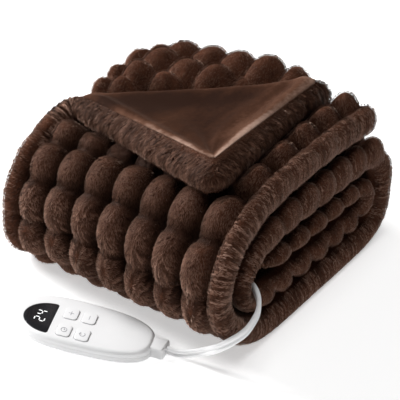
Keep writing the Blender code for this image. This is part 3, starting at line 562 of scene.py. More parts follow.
def panel_lines():
    """Where the flat panel's net has its lines, across its width and along its length."""
    hem = [edge * MM for edge in (0.0, 0.3, 1.0, 2.2, 3.8, 5.8, 8.2, 11, 13.5, 16, 19)]
    inner = HALF_WIDTH - HEM_WIDTH
    across = np.linspace(-inner, inner, COLUMNS * COLUMN_STEPS + 1)
    widths = [-HALF_WIDTH + e for e in hem] + list(across) + [HALF_WIDTH - e for e in reversed(hem)]
    rows = round((PATH.length - 2 * HEM_WIDTH) / ROW_STEP)
    along = np.linspace(HEM_WIDTH, PATH.length - HEM_WIDTH, rows + 1)
    lengths = hem + list(along) + [PATH.length - e for e in reversed(hem)]
    return widths, lengths


def flat_net(widths, lengths):
    """A flat net with a vertex at each crossing of the given lines."""
    bm = bmesh.new()
    bmesh.ops.create_grid(bm, x_segments=len(widths) - 1, y_segments=len(lengths) - 1, size=1)
    for vertex in bm.verts:
        column = round((vertex.co.x + 1) / 2 * (len(widths) - 1))
        row = round((vertex.co.y + 1) / 2 * (len(lengths) - 1))
        vertex.co = (widths[column], lengths[row], 0)
    return bm


def mark_line(bm, point, across, cut=False):
    """A line of the net through a point, or the net's new edge where cut is set."""
    bmesh.ops.bisect_plane(bm, geom=bm.verts[:] + bm.edges[:] + bm.faces[:], plane_co=point,
                           plane_no=across, clear_outer=cut, dist=1e-7)


def two_sides(bm):
    """Give the flat net a second side: z tells them apart, 0 for the lower and 1 for the upper one."""
    grown = bmesh.ops.extrude_face_region(bm, geom=bm.faces[:])
    for item in grown["geom"]:
        if isinstance(item, bmesh.types.BMVert):
            item.co.z = 1
    return bm


def length_on_top_layer(x, y):
    """Length along the cloth at which the top layer reaches a plan position."""
    low, high = 0.0, PATH.station_length["nose_brow"]
    for _ in range(40):
        middle = (low + high) / 2
        if PATH.section(x, middle)[0] > y:
            low = middle
        else:
            high = middle
    return low


def trim_top_layer(bm):
    """Cut the panel where its corner turns over, just inside the fold."""
    ends = []
    for corner in (FOLD_LEFT, FOLD_RIGHT):
        inside = corner + FOLD_INTO * 0.9 * fold_radius(corner.x, corner.y)
        ends.append(Vector((inside.x, length_on_top_layer(inside.x, inside.y), 0)))
    along = (ends[1] - ends[0]).normalized()
    outward = Vector((along.y, -along.x, 0))
    if outward.y > 0:
        outward = -outward
    top = [face for face in bm.faces if face.calc_center_median().y < PATH.station_length["nose_brow"]]
    geometry = {item for face in top for item in (*face.verts, *face.edges)} | set(top)
    bmesh.ops.bisect_plane(bm, geom=list(geometry), plane_co=ends[0], plane_no=outward,
                           clear_outer=True, dist=1e-7)


def flap_point(x, y, upper):
    """World place of a point of the turned-over corner's net."""
    fold, left, right = flap_distances(x, y)
    top = flap_top(x, y)
    radius = fold_radius(x, y)
    lining = PATH.top_lining_height(x, y)
    hem_share = 1 - smooth(min(left, right), 0.6 * FLAP_HEM_WIDTH, 1.2 * FLAP_HEM_WIDTH)
    under = top - FLAP_THICKNESS - 4 * MM * hem_share
    bottom = lining - 1 * MM + (under - lining + 1 * MM) * smooth(fold, 0.9 * radius, 2.0 * radius)
    middle, half = (top + bottom) / 2, (top - bottom) / 2
    edge = min(left, right)
    roundness = quarter_round(edge, FLAP_HEM_ROUND) * quarter_round(fold, radius)
    offset = half * roundness + EDGE_LIP
    for corner, neighbours, distance, round_to in (
            (FOLD_APEX, (FOLD_LEFT, FOLD_RIGHT), edge, APEX_RADIUS),
            (FOLD_LEFT, (FOLD_RIGHT, FOLD_APEX), min(left, fold), FOLD_END_RADIUS),
            (FOLD_RIGHT, (FOLD_LEFT, FOLD_APEX), min(right, fold), FOLD_END_RADIUS)):
        x, y = rounded_off(Vector((x, y)), corner, neighbours, distance, round_to)
    return x, y, middle + (offset if upper else -offset)


def rounded_off(point, corner, neighbours, distance, radius):
    """Plan place of a point once the corner between two straight edges is rounded to a radius."""
    ways = [(other - corner).normalized() for other in neighbours]
    bisector = (ways[0] + ways[1]).normalized()
    half_angle = ways[0].angle(ways[1]) / 2
    centre = corner + bisector * radius / math.sin(half_angle)
    arm = point - centre
    if arm.length < 1e-6 or arm.angle(-bisector) > math.pi / 2 - half_angle:
        return point
    return centre + arm.normalized() * (radius - distance)


# ---------------------------------------------------------------- lining panel
def lining_point(share, row, lift):
    """Row 0 is the end that goes round the fold, and the last row is near the apex."""
    left_inset = LINING_INSET / abs(math.sin(FOLD_ALONG.angle((FOLD_APEX - FOLD_LEFT).normalized())))
    right_inset = LINING_INSET / abs(math.sin((-FOLD_ALONG).angle((FOLD_APEX - FOLD_RIGHT).normalized())))
    start = FOLD_LEFT + FOLD_ALONG * left_inset
    end = FOLD_RIGHT - FOLD_ALONG * right_inset
    apex = meeting_point(start, FOLD_APEX - FOLD_LEFT, end, FOLD_APEX - FOLD_RIGHT)
    base = start.lerp(end, share)
    radius = fold_radius(*(base + FOLD_INTO * 10 * MM))
    if row < LINING_ROWS_WRAP:
        angle = LINING_WRAP * (1 - row / LINING_ROWS_WRAP)
        place = base + FOLD_INTO * (radius - (radius + lift) * math.sin(angle))
        centre = flap_top(*(base + FOLD_INTO * radius)) + EDGE_LIP - radius
        return place.x, place.y, centre + (radius + lift) * math.cos(angle)
    depth = (row - LINING_ROWS_WRAP) / LINING_ROWS_TOP
    place = (base + FOLD_INTO * radius).lerp(apex, LINING_TIP * depth)
    return place.x, place.y, flap_top(place.x, place.y) + EDGE_LIP + lift


def meeting_point(first, first_way, second, second_way):
    """Where two plan lines cross."""
    matrix = Matrix(((first_way.x, -second_way.x), (first_way.y, -second_way.y)))
    return first + first_way * (matrix.inverted() @ (second - first)).x


# ---------------------------------------------------------------- materials
def material(name, colour, roughness, gloss=0.5, sheen=None, lit=0.0):
    """A material with its shader; sheen is its weight, roughness and tint, lit its own light."""
    made = bpy.data.materials.new(name)
    made.use_nodes = True
    shader = made.node_tree.nodes["Principled BSDF"]
    values = {"Base Color": (*colour, 1), "Roughness": roughness, "Specular IOR Level": gloss}
    if sheen:
        values |= {"Sheen Weight": sheen[0], "Sheen Roughness": sheen[1], "Sheen Tint": (*sheen[2], 1)}
    if lit:
        values |= {"Emission Color": (1, 1, 1, 1), "Emission Strength": lit}
    for socket, value in values.items():
        shader.inputs[socket].default_value = value
    return made, made.node_tree, shader


def node(tree, kind, **values):
    """A node of the material, its inputs and settings given by name."""
    made = tree.nodes.new(kind)
    for key, value in values.items():
        if key in made.inputs:
            made.inputs[key].default_value = value
        else:
            setattr(made, key, value)
    return made


def ramp(tree, source, stops, target):
    """Colour between the stops, by the source's value."""
    made = node(tree, "ShaderNodeValToRGB")
    points = made.color_ramp.elements
    while len(points) < len(stops):
        points.new(0.5)
    for point, (place, colour) in zip(points, stops):
        point.position, point.color = place, (*colour, 1)
    tree.links.new(source, made.inputs["Fac"])
    tree.links.new(made.outputs["Color"], target.inputs["Base Color"])


def bump(tree, shader, height, strength, distance):
    """Fine relief in the surface."""
    made = node(tree, "ShaderNodeBump", Strength=strength, Distance=distance)
    tree.links.new(height, made.inputs["Height"])
    tree.links.new(made.outputs["Normal"], shader.inputs["Normal"])


def noise(tree, scale, detail, vector=None):
    """Cloudy pattern on the piece's own coordinates, between 0 and 1."""
    made = node(tree, "ShaderNodeTexNoise", Scale=scale, Detail=detail, Roughness=0.55)
    tree.links.new(vector or node(tree, "ShaderNodeTexCoord").outputs["Object"], made.inputs["Vector"])
    return made.outputs["Fac"]


def attribute(tree, name):
    """A value that the mesh's vertices hold."""
    return node(tree, "ShaderNodeAttribute", attribute_name=name).outputs["Fac"]


def both(tree, operation, first, second):
    """Two values added or multiplied."""
    made = node(tree, "ShaderNodeMath", operation=operation)
    for source, target in zip((first, second), made.inputs):
        tree.links.new(source, target)
    return made.outputs["Value"]


def pile_material():
    """Combed brown pile: dark roots, lighter tips, each lock a little different, and painted shade that
    darkens the blades deep in the valleys and creases between the puffs.
    """
    made, tree, shader = material("brown_pile", (0.06, 0.03, 0.02), 0.62, 0.06,
                                  (0.46, 0.28, (0.80, 0.54, 0.42)))
    ramp(tree, attribute(tree, "tone_and_painted_light"), ((0.0, (0.010, 0.0042, 0.0022)), (0.35, (0.064, 0.0275, 0.0160)),
                                         (0.7, (0.205, 0.105, 0.071)), (1.0, (0.46, 0.285, 0.215))), shader)
    return made


def skin_material():
    """The knitted ground under the pile, with the down of short hairs on it, and painted shade that darkens
    it in the valleys and creases between the puffs.
    """
    made, tree, shader = material("fur_ground", (0.02, 0.009, 0.006), 0.95, 0.06,
                                  (0.35, 0.2, (0.85, 0.50, 0.36)))
    grain = noise(tree, 900, 4)
    patchy = both(tree, "MULTIPLY", grain, noise(tree, 60, 3))
    # painted shade: the down is darker where the painted light level is low, in the valleys and creases
    ramp(tree, both(tree, "MULTIPLY", patchy, attribute(tree, "painted_light_level")),
         ((0.02, (0.014, 0.005, 0.0025)), (0.4, (0.13, 0.050, 0.028))), shader)
    bump(tree, shader, grain, 0.8, 0.0015)
    return made


def lining_material():
    """Short brushed plush whose pile lies one way here and the other way there, with painted light and shade
    from its vertices: a painted highlight on its rolled rim and painted shade in a trough and towards its
    middle.
    """
    made, tree, shader = material("brown_plush", (0.06, 0.028, 0.018), 0.85, 0.06,
                                  (0.12, 0.3, (0.85, 0.52, 0.40)))
    place = node(tree, "ShaderNodeTexCoord").outputs["Object"]
    turned = node(tree, "ShaderNodeMapping", Rotation=(0, 0, math.radians(-35)), Scale=(1, 0.32, 1))
    tree.links.new(place, turned.inputs["Vector"])
    mixed = node(tree, "ShaderNodeMix", data_type="FLOAT")
    mixed.inputs["Factor"].default_value = 0.25
    tree.links.new(noise(tree, 22, 3, turned.outputs["Vector"]), mixed.inputs["A"])
    tree.links.new(noise(tree, 240, 4), mixed.inputs["B"])
    # painted light and shade of the lining, held by its vertices, added to the brushed pattern
    ramp(tree, both(tree, "ADD", mixed.outputs["Result"], attribute(tree, "lining_painted_light")),
         ((0.30, (0.018, 0.0060, 0.0026)), (0.5, (0.040, 0.0145, 0.0066)),
          (0.68, (0.098, 0.044, 0.026)), (1.0, (0.44, 0.29, 0.225))), shader)
    bump(tree, shader, noise(tree, 1400, 2), 0.45, 0.0006)
    return made


def shell_material(name, colour, roughness):
    """Moulded plastic with a fine spark-eroded grain."""
    made, tree, shader = material(name, colour, roughness)
    bump(tree, shader, noise(tree, 2600, 2), 0.06, 0.0002)
    ramp(tree, noise(tree, 35, 2), ((0.3, tuple(c * 0.965 for c in colour)), (0.7, colour)), shader)
    return made


def window_material():
    """Black glossy window with the dot mesh of its mask."""
    made, tree, shader = material("display_black", (0.008, 0.008, 0.009), 0.16)
    dots = node(tree, "ShaderNodeTexVoronoi", Scale=900.0, Randomness=0.0)
    tree.links.new(node(tree, "ShaderNodeTexCoord").outputs["Object"], dots.inputs["Vector"])
    ramp(tree, dots.outputs["Distance"], ((0.25, (0.050, 0.050, 0.054)), (0.4, (0.012, 0.012, 0.014))),
         shader)
    return made


# ---------------------------------------------------------------- making pieces
def number_by_place(bm):
    """Sort vertices and faces by their place, because the operators' own order differs from run to run."""
    for items, place in ((bm.verts, lambda item: item.co),
                         (bm.faces, lambda item: item.calc_center_median())):
        ordered = sorted(items, key=lambda item: tuple(round(value, 6) for value in place(item)))
        for number, item in enumerate(ordered):
            item.index = number
        items.sort()


def placed(name, data):
    """A new object in the scene."""
    item = bpy.data.objects.new(name, data)
    bpy.context.scene.collection.objects.link(item)
    return item


def mesh_from(name, bm):
    """The finished bmesh as a mesh."""
    mesh = bpy.data.meshes.new(name)
    bm.to_mesh(mesh)
    bm.free()
    return mesh


def finished(name, bm, look, smooth_angle=None):
    """The piece as an object, its faces outwards."""
    number_by_place(bm)
    bmesh.ops.recalc_face_normals(bm, faces=bm.faces)
    if bm.calc_volume(signed=True) < 0:
        bmesh.ops.reverse_faces(bm, faces=bm.faces)
    mesh = mesh_from(name, bm)
    mesh.materials.append(look)
    mesh.shade_smooth()
    if smooth_angle is not None:
        mesh.set_sharp_from_angle(angle=math.radians(smooth_angle))
    return placed(name, mesh)


def fitted(item, body, node=None):
    """Let the piece ride on its body, in place of the CAD node it stands for, which is hidden."""
    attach(item, body)
    if node:
        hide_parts(node)
    return item


def read(source, name, width=3, kind=np.float32):
    """A value of every vertex, triangle or loop as an array."""
    values = np.empty(len(source) * width, kind)
    source.foreach_get(name, values)
    return values.reshape(-1, width) if width > 1 else values


def unit(vectors):
    return vectors / np.maximum(np.linalg.norm(vectors, axis=1, keepdims=True), 1e-9)


# ---------------------------------------------------------------- fur ground
# What each vertex of a ground says of its pile: the way along, flat place for the locks, which way is out,
# share of hem, length, looseness, painted light and shade (painted shade in the valleys and creases), how
# densely it grows, fan to the sides, depth of the ground.
GROWTH = ("axis", "flat", "turn", "hem", "reach", "loose", "painted_light_level", "cover", "fan", "sink")


def cloth_cover(x, length, upper, y, z):
    """How much pile a place gets: nothing where no one can see it."""
    side = HALF_WIDTH - abs(x)
    hem = side < HEM_WIDTH or length < HEM_WIDTH or PATH.length - length < HEM_WIDTH
    if not upper:
        return 1.0 if hem and min(side, length, PATH.length - length) < HEM_WIDTH / 2 else 0.0
    if length > PATH.station_length["wrap_crown"]:
        shows = side < HIDDEN_SIDE or exposed_share(x, y, z) > 0.02
        return 1.0 if shows else 0.0
    if length < PATH.station_length["nose_brow"]:
        fold, left, right = flap_distances(x, y)
        if min(left, right) > 22 * MM and fold > -10 * MM:
            return 0.0
    if PATH.station_length["nose_chin"] < length < PATH.station_length["wrap_heel"] and side > 30 * MM:
        return 0.25
    return 1.0


def cloth_growth(x, length, upper, place):
    """How the pile grows at a point of the panel: the way it lies, its length, and its painted light and
    shade, darker deep in the valleys and creases.
    """
    out_y, out_z = PATH.normal(x, length)
    side = HALF_WIDTH - abs(x)
    end = min(length, PATH.length - length)
    edge = min(side, end)
    hem = 1 - smooth(edge, 0.75 * HEM_WIDTH, 1.15 * HEM_WIDTH)
    if end < side:
        axis, turn = Vector((1, 0, 0)), 1 if length < PATH.length / 2 else -1
    else:
        axis, turn = Vector((0, -out_z, out_y)), -1 if x > 0 else 1
    column, row = round(x / COLUMN_PITCH), round(row_at(length))
    sideways, onward = 2 * (x / COLUMN_PITCH - column), 2 * (row_at(length) - row)
    if side < min(end, HEM_WIDTH):
        flat = (length, x, 0)
    elif end < HEM_WIDTH:
        flat = (x, length, 0)
    else:
        flat = puff_net(column, row, sideways, onward)
    lining_y, lining_z = PATH.section(x, length)
    height = math.hypot(place[1] - lining_y, place[2] - lining_z) / PATH.pile(x, length)
    front = smooth(-place[1], 60 * MM, 110 * MM) * (1 - smooth(place[2], 75 * MM, 150 * MM))
    front *= smooth(place[2], 12 * MM, 50 * MM)
    inner = smooth(PATH.scallop(length), 0.0, 0.6)
    loose = max(LOOSE_LEAST, LOOSE_FRONT * front)
    loose += (LOOSE_HEM - 0.3 * inner - loose) * hem
    reach = PUFF_PILE + (LOOSE_PILE - PUFF_PILE) * front * smooth(height, 0.3, 0.8)
    reach += (HEM_PILE * (1 - 0.4 * inner) - reach) * hem
    reach *= FLOOR_SHARE + (1 - FLOOR_SHARE) * smooth(place[2], 2 * MM, 28 * MM)
    radial = front * (1 - hem)
    grows = 1.0 if upper or edge < HEM_WIDTH / 2 else 0.0
    # painted shade: the painted light level falls from the tops of the puffs into the valleys and creases;
    # the hems are kept light
    return {
        "axis": axis * (1 + radial * (onward + DROOP - 1)), "flat": flat, "turn": turn, "hem": hem,
        "reach": reach * grows, "loose": loose, "painted_light_level": max(smooth(height, 0.3, 1.0), 1.1 * hem),
        "cover": cloth_cover(x, length, upper, place[1], place[2]) * grows,
        "fan": (FAN * (1 - hem) + FAN_FRONT * radial) * sideways, "sink": SKIN_SHARE * reach * grows,
    }


def puff_net(column, row, sideways, onward):
    """Flat place of a point on a puff, round the puff and out from its middle, so that locks fan out."""
    angle, far = math.atan2(-onward, -sideways), math.hypot(onward, sideways) / 2
    apart = 1 + 0.1 * (column + 9 * row)
    return apart + 12 * MM * angle, far * COLUMN_PITCH, 0


def grown_mesh(name, bm, look, growth):
    """Set each vertex of a ground to its place and its pile's growth, and sink it under the pile."""
    layers = {key: bm.verts.layers.float_vector.new(key) for key in GROWTH[:2]}
    layers |= {key: bm.verts.layers.float.new(key) for key in GROWTH[2:]}
    for vertex in bm.verts:
        place, values = growth(vertex)
        for key, value in values.items():
            vertex[layers[key]] = value
        vertex.co = place
    item = finished(name, bm, look)
    mesh = item.data
    place, normal = read(mesh.vertices, "co"), read(mesh.vertex_normals, "vector")
    place -= normal * read(mesh.attributes["sink"].data, "value", 1)[:, None]
    place[:, 2] = np.maximum(place[:, 2], SKIN_LOWEST)
    mesh.vertices.foreach_set("co", place.ravel())
    mesh.update()
    return item


def make_fur_ground(look):
    """The folded fur cloth under its pile: layers, puffs and hems, without the turned-over corner."""
    bm = flat_net(*panel_lines())
    trim_top_layer(bm)
    two_sides(bm)

    def growth(vertex):
        x, length, upper = vertex.co.x, vertex.co.y, vertex.co.z > 0.5
        place = cloth_point(x, length, upper)
        return place, cloth_growth(x, length, upper, place)

    return grown_mesh("fur_ground", bm, look, growth)


def corner_growth(x, y, upper):
    """How the pile grows at a point of the turned-over corner."""
    fold, left, right = flap_distances(x, y)
    middle = sum(CORNERS, Vector((0, 0))) / 3
    start = FOLD_LEFT if left < right else FOLD_RIGHT
    along = (FOLD_APEX - start).normalized()
    across = Vector((along.y, -along.x))
    edge = min(left, right)
    hem = 1 - smooth(edge, 0.9 * LINING_INSET, 1.1 * LINING_INSET)
    reach = CORNER_PILE * (1 - 0.75 * smooth(edge, 10 * MM, LINING_INSET) if upper else 1.0)
    bed = LINING_BED * smooth(edge, LINING_INSET, 24.5 * MM) if upper or fold < 25 * MM else 0.0
    shows = hem if upper else 1 - smooth(edge, 12 * MM, 30 * MM)
    # painted highlight: on the upper side the pile grows lighter towards the lining's rolled rim; the
    # underside keeps one level
    return {
        "axis": (along.x, along.y, 0), "flat": (along.dot(Vector((x, y)) - start), edge, 0),
        "turn": 1 if across.dot(middle - start) < 0 else -1, "hem": 1.0, "reach": reach,
        "loose": 0.3 + 0.45 * (1 - smooth(edge, 11 * MM, 17 * MM)) if upper else LOOSE_UNDER,
        "painted_light_level": 0.66 + 0.42 * smooth(edge, 13 * MM, LINING_INSET) if upper else 0.6,
        "cover": shows if fold > 4 * MM or edge < LINING_INSET else 0.0,
        "sink": max(SKIN_SHARE * reach * hem, bed),
    }


def make_corner_ground(look):
    """The turned-over corner under its pile, with a bed for the lining."""
    def growth(vertex):
        x, y, upper = vertex.co.x, vertex.co.y, vertex.co.z > 0.5
        return flap_point(x, y, upper), corner_growth(x, y, upper)

    return grown_mesh("corner_ground", flap_net(), look, growth)


def flap_net():
    """Flat net of the turned-over corner with both sides."""
    lines = []
    for i in (0, 1):
        low, high = min(c[i] for c in CORNERS), max(c[i] for c in CORNERS)
        lines.append(list(np.linspace(low, high, math.ceil((high - low) / FLAP_STEP) + 1)))
    bm = flat_net(*lines)
    edges = ((FOLD_LEFT, FOLD_RIGHT, FOLD_APEX), (FOLD_LEFT, FOLD_APEX, FOLD_RIGHT),
             (FOLD_RIGHT, FOLD_APEX, FOLD_LEFT))
    for start, end, inside in edges:
        along = (end - start).normalized()
        outward = Vector((along.y, -along.x))
        if outward.dot(inside - start) > 0:
            outward = -outward
        for inset in FLAP_LINES:
            mark_line(bm, (start - outward * (inset * MM)).to_3d(), outward.to_3d())
        mark_line(bm, start.to_3d(), outward.to_3d(), cut=True)
    bmesh.ops.triangulate(bm, faces=bm.faces)
    return two_sides(bm)


def make_hem_turn(look):
    """The roll by which the left hem goes over the fold and on as the corner's edge."""
    points = smooth_route([Vector(point) * MM for point in HEM_TURN_ROUTE], HEM_TURN_STEP)
    centres = np.array(points)

    def growth(vertex):
        nearest = int(np.argmin(np.linalg.norm(centres - np.array(vertex.co), axis=1)))
        low, high = max(nearest - 1, 0), min(nearest + 1, len(points) - 1)
        return vertex.co.copy(), {
            "axis": tuple(unit((centres[high] - centres[low])[None])[0]),
            "flat": (nearest * HEM_TURN_STEP, vertex.co.z, 0), "turn": 1, "hem": 1.0, "reach": CORNER_PILE,
            "loose": 1.0, "painted_light_level": 1.0, "cover": 1.0, "sink": SKIN_SHARE * CORNER_PILE,
        }

    outline = ring_points(HEM_TURN_RADIUS, steps=20)[:-1]
    return grown_mesh("hem_turn", swept(outline, points), look, growth)


def path_frames(points, up):
    """A frame at each point: width and height across the path, height kept towards up."""
    frames = []
    for i, point in enumerate(points):
        ahead = Vector(points[min(i + 1, len(points) - 1)]) - Vector(points[max(i - 1, 0)])
        ahead.normalize()
        height = (up - ahead * up.dot(ahead)).normalized()
        frame = Matrix((height.cross(ahead), height, ahead)).transposed().to_4x4()
        frame.translation = point
        frames.append(frame)
    return frames


def carried_on(bm, end):
    """The end face drawn out by one more step; only the very first one stays behind."""
    raised = bmesh.ops.extrude_face_region(bm, geom=[end])
    if len(bm.faces) > len(end.verts) + 2:
        bmesh.ops.delete(bm, geom=[end], context="FACES_ONLY")
    return next(item for item in raised["geom"] if isinstance(item, bmesh.types.BMFace))


def swept(outline, points):
    """A closed bar: a flat outline carried along the points, kept upright."""
    frames = path_frames(points, Vector((0, 0, 1)))
    bm = bmesh.new()
    end = bm.faces.new([bm.verts.new(frames[0] @ Vector((u, v, 0))) for u, v in outline])
    for before, after in zip(frames, frames[1:]):
        end = carried_on(bm, end)
        bmesh.ops.transform(bm, matrix=after @ before.inverted(), verts=end.verts)
    return bm


# ---------------------------------------------------------------- pile
def pile_seeds(grounds, count, seed, box=None):
    """Random places on the grounds, with the ground's normal, the way the pile lies and its length."""
    rng = np.random.default_rng(seed)
    tables = []
    for ground in grounds:
        mesh = ground.data
        mesh.calc_loop_triangles()
        corners = read(mesh.loop_triangles, "vertices", 3, np.int32)
        place, normal = read(mesh.vertices, "co"), read(mesh.vertex_normals, "vector")
        axis, flat = (read(mesh.attributes[name].data, "vector") for name in GROWTH[:2])
        turn, hem, reach, loose, painted_light_level, cover, fan = (read(mesh.attributes[name].data, "value", 1)
                                                      for name in GROWTH[2:9])
        across = unit(np.cross(axis, normal)) * turn[:, None]
        comb = axis * (1 - hem)[:, None] + across * hem[:, None] + np.array((1, 0, 0)) * fan[:, None]
        a, b, c = (place[corners[:, i]] for i in range(3))
        weight = np.linalg.norm(np.cross(b - a, c - a), axis=1) / 2 * cover[corners].mean(axis=1)
        if box is not None:
            middle = place[corners].mean(axis=1) / MM
            weight *= np.all((middle >= box[0]) & (middle < box[1]), axis=1)
        values = np.hstack((place, normal, comb, np.stack((reach, loose, painted_light_level), axis=1), flat[:, :2]))
        tables.append((corners, values, weight))
    total = sum(table[2].sum() for table in tables)
    found = []
    for corners, values, weight in tables:
        share = int(round(count * weight.sum() / total))
        chosen = rng.choice(len(corners), share, p=weight / weight.sum())
        u, v = rng.random((2, share))
        flip = u + v > 1
        u[flip], v[flip] = 1 - u[flip], 1 - v[flip]
        a, b, c = (values[corners[chosen, i]] for i in range(3))
        found.append(a + (b - a) * u[:, None] + (c - a) * v[:, None])
    return np.vstack(found), rng


def make_pile(name, grounds, count, seed, look, box=None):
    """Blades of pile as one mesh: each has a root, a bend and a tip, and neighbours gather in locks."""
    seeds, rng = pile_seeds(grounds, count, seed, box)
    root, normal, comb = seeds[:, :3], unit(seeds[:, 3:6]), seeds[:, 6:9]
    reach, loose, painted_light_level = seeds[:, 9], seeds[:, 10][:, None], seeds[:, 11]
    count = len(seeds)
    row = np.floor(seeds[:, 12] / LOCK_WIDTH).astype(np.int64)
    cell = np.floor(seeds[:, 13] / LOCK_LENGTH + np.modf(np.abs(row) * 0.618)[0]).astype(np.int64)
    _, lock = np.unique(row * 100003 + cell, return_inverse=True)
    lock_lean = rng.normal(size=(lock.max() + 1, 3))[lock] * loose
    lock_tone = (rng.random(lock.max() + 1)[lock] - 0.5) * loose[:, 0]
    own = rng.normal(size=(count, 3))
    comb = unit(comb - normal * (comb * normal).sum(axis=1)[:, None])
    rise = BLADE_RISE - BLADE_LIE * loose[:, 0] + BLADE_STRAY * own[:, 0]
    way = unit(comb + normal * rise[:, None] + BLADE_STRAY * lock_lean + BLADE_STRAY * own)
    length = reach * (0.8 + 0.4 * rng.random(count))
    tip = root + way * length[:, None]
    sizes = np.bincount(lock)[:, None]
    middle_of_lock = np.stack([np.bincount(lock, tip[:, i]) for i in range(3)], axis=1) / sizes
    gather = middle_of_lock[lock] - tip
    gather *= np.linalg.norm(gather, axis=1)[:, None] < LOCK_REACH
    gather -= comb * (gather * comb).sum(axis=1)[:, None]
    tip += gather * (0.1 + 0.4 * loose)
    bend = root + (unit(way + (0.7 - 0.35 * loose) * normal) * BLADE_BEND + way * 0.04) * length[:, None]
    side = unit(np.cross(way, normal) + 0.25 * own)
    half = BLADE_WIDTH * (0.7 + 0.6 * rng.random(count))[:, None] / 2
    places = np.stack((root, bend + side * half, tip, bend - side * half), axis=1).reshape(-1, 3)
    places[:, 2] = np.maximum(places[:, 2], 0.2 * MM)
    mesh = bpy.data.meshes.new(name)
    mesh.vertices.add(4 * count)
    mesh.vertices.foreach_set("co", places.ravel().astype(np.float32))
    corners = (np.arange(count)[:, None] * 4 + np.array((0, 1, 3, 1, 2, 3))).ravel()
    mesh.loops.add(6 * count)
    mesh.loops.foreach_set("vertex_index", corners.astype(np.int32))
    mesh.polygons.add(2 * count)
    mesh.polygons.foreach_set("loop_start", np.arange(0, 6 * count, 3, dtype=np.int32))
    mesh.update(calc_edges=True)
    tone_and_painted_light = np.empty((count, 4), np.float32)
    level = TONE + TONE_OF_LOCK * lock_tone + TONE_OF_BLADE * (rng.random(count) - 0.5)
    # painted shade: blades deep between the puffs are darkened
    level *= PAINTED_SHADE_IN_CREASE + (1 - PAINTED_SHADE_IN_CREASE) * painted_light_level
    tone_and_painted_light[:, 0], tone_and_painted_light[:, 2] = TONE_OF_ROOT, np.clip(level + 0.16, 0, 1)
    tone_and_painted_light[:, 1] = tone_and_painted_light[:, 3] = np.clip(level * 0.8, 0, 1)
    mesh.attributes.new("tone_and_painted_light", "FLOAT", "POINT").data.foreach_set("value", tone_and_painted_light.ravel())
    shown = unit(normal + LOCK_SHADE * lock_lean + BLADE_STRAY * (own + way))
    mesh.shade_smooth()
    mesh.normals_split_custom_set_from_vertices(np.repeat(shown, 4, axis=0).tolist())
    mesh.materials.append(look)
    return fitted(placed(name, mesh), "throw")


# ---------------------------------------------------------------- lining
def make_lining(look):
    """Plush lining of the turned-over corner, round the fold and down to the apex."""
    rows = LINING_ROWS_WRAP + LINING_ROWS_TOP
    bm = flat_net(list(np.linspace(0, 1, LINING_COLUMNS + 1)), list(range(rows + 1)))
    two_sides(bm)
    lining_painted_light = bm.verts.layers.float.new("lining_painted_light")
    for vertex in bm.verts:
        share, row, upper = vertex.co.x, round(vertex.co.y), vertex.co.z > 0.5
        lift = LINING_LOW + (LINING_THICKNESS if upper else 0.0)
        # each vertex keeps the lining's painted light and shade
        fold, tone_and_painted_light = lining_fold(share, row / rows)
        vertex[lining_painted_light] = tone_and_painted_light
        vertex.co = lining_point(share, row, lift)
        vertex.co.z += fold if upper else 0.0
    item = fitted(finished("lining_plush", bm, look), "throw", "lining_panel")


def lining_fold(share, depth):
    """Soft ridges and troughs that the turned corner pulls into the lining, and the painted light and shade
    on it.
    """
    edge = min(share, 1 - share) * (1 - depth)
    rim = 0.7 * math.exp(-(edge / 0.020) ** 2) + 0.3 * math.exp(-(edge / 0.07) ** 2)
    fold = LINING_RIM * rim
    for centre, lean, width, height in LINING_RIDGES:
        fold += height * MM * math.exp(-((share - centre - lean * (depth - 0.5)) / width) ** 2)
    # Painted light and shade: a painted highlight along the rolled rim, strongest towards the apex, and a
    # light band a little way from the fold; painted shade in a trough behind it towards the left and in the
    # middle; lighter towards the right.
    crown = math.exp(-((depth - 0.15) / 0.06) ** 2)
    trough = math.exp(-((depth - 0.30) / 0.09) ** 2) * (1 - smooth(share, 0.35, 1.0))
    light = (0.34 + 0.05 * math.sin(17 * depth + 9 * share)) * (0.22 + 0.78 * smooth(depth, 0.3, 0.7))
    tone_and_painted_light = light * rim + 0.15 * crown - 0.13 * trough
    middle = math.exp(-((share - 0.55) / 0.28) ** 2) * smooth(depth, 0.1, 0.3)
    return fold * smooth(edge, 0.0, 0.03), tone_and_painted_light + 0.14 * smooth(share, 0.55, 0.95) - 0.07 * middle - 0.04


# ---------------------------------------------------------------- controller
def controller_frame():
    """Where the controller lies beside the throw, and how far it is turned."""
    return Matrix.Translation(CONTROLLER_CENTRE) @ Matrix.Rotation(CONTROLLER_TURN, 4, "Z")


def body_outline(points, grow=0.0):
    """Plan outline of the housing: a blunt oval, narrower towards the lead."""
    outline = []
    for step in range(points):
        angle = 2 * math.pi * step / points
        cosine, sine = math.cos(angle), math.sin(angle)
        x = (BODY_LENGTH / 2 + grow) * math.copysign(abs(cosine) ** (2 / BODY_EXPONENT), cosine)
        y = (BODY_WIDTH / 2 + grow) * math.copysign(abs(sine) ** (2 / BODY_EXPONENT), sine)
        outline.append((x, y * (1 - BODY_TAPER * (x / BODY_LENGTH + 0.5))))
    return outline


def rounded_rectangle(length, width, radius, steps=8):
    """Plan outline with rounded corners, about its middle."""
    points = []
    for corner, (sx, sy) in enumerate(((1, 1), (-1, 1), (-1, -1), (1, -1))):
        for step in range(steps + 1):
            angle = math.pi / 2 * (corner + step / steps)
            points.append((sx * (length / 2 - radius) + radius * math.cos(angle),
                           sy * (width / 2 - radius) + radius * math.sin(angle)))
    return points


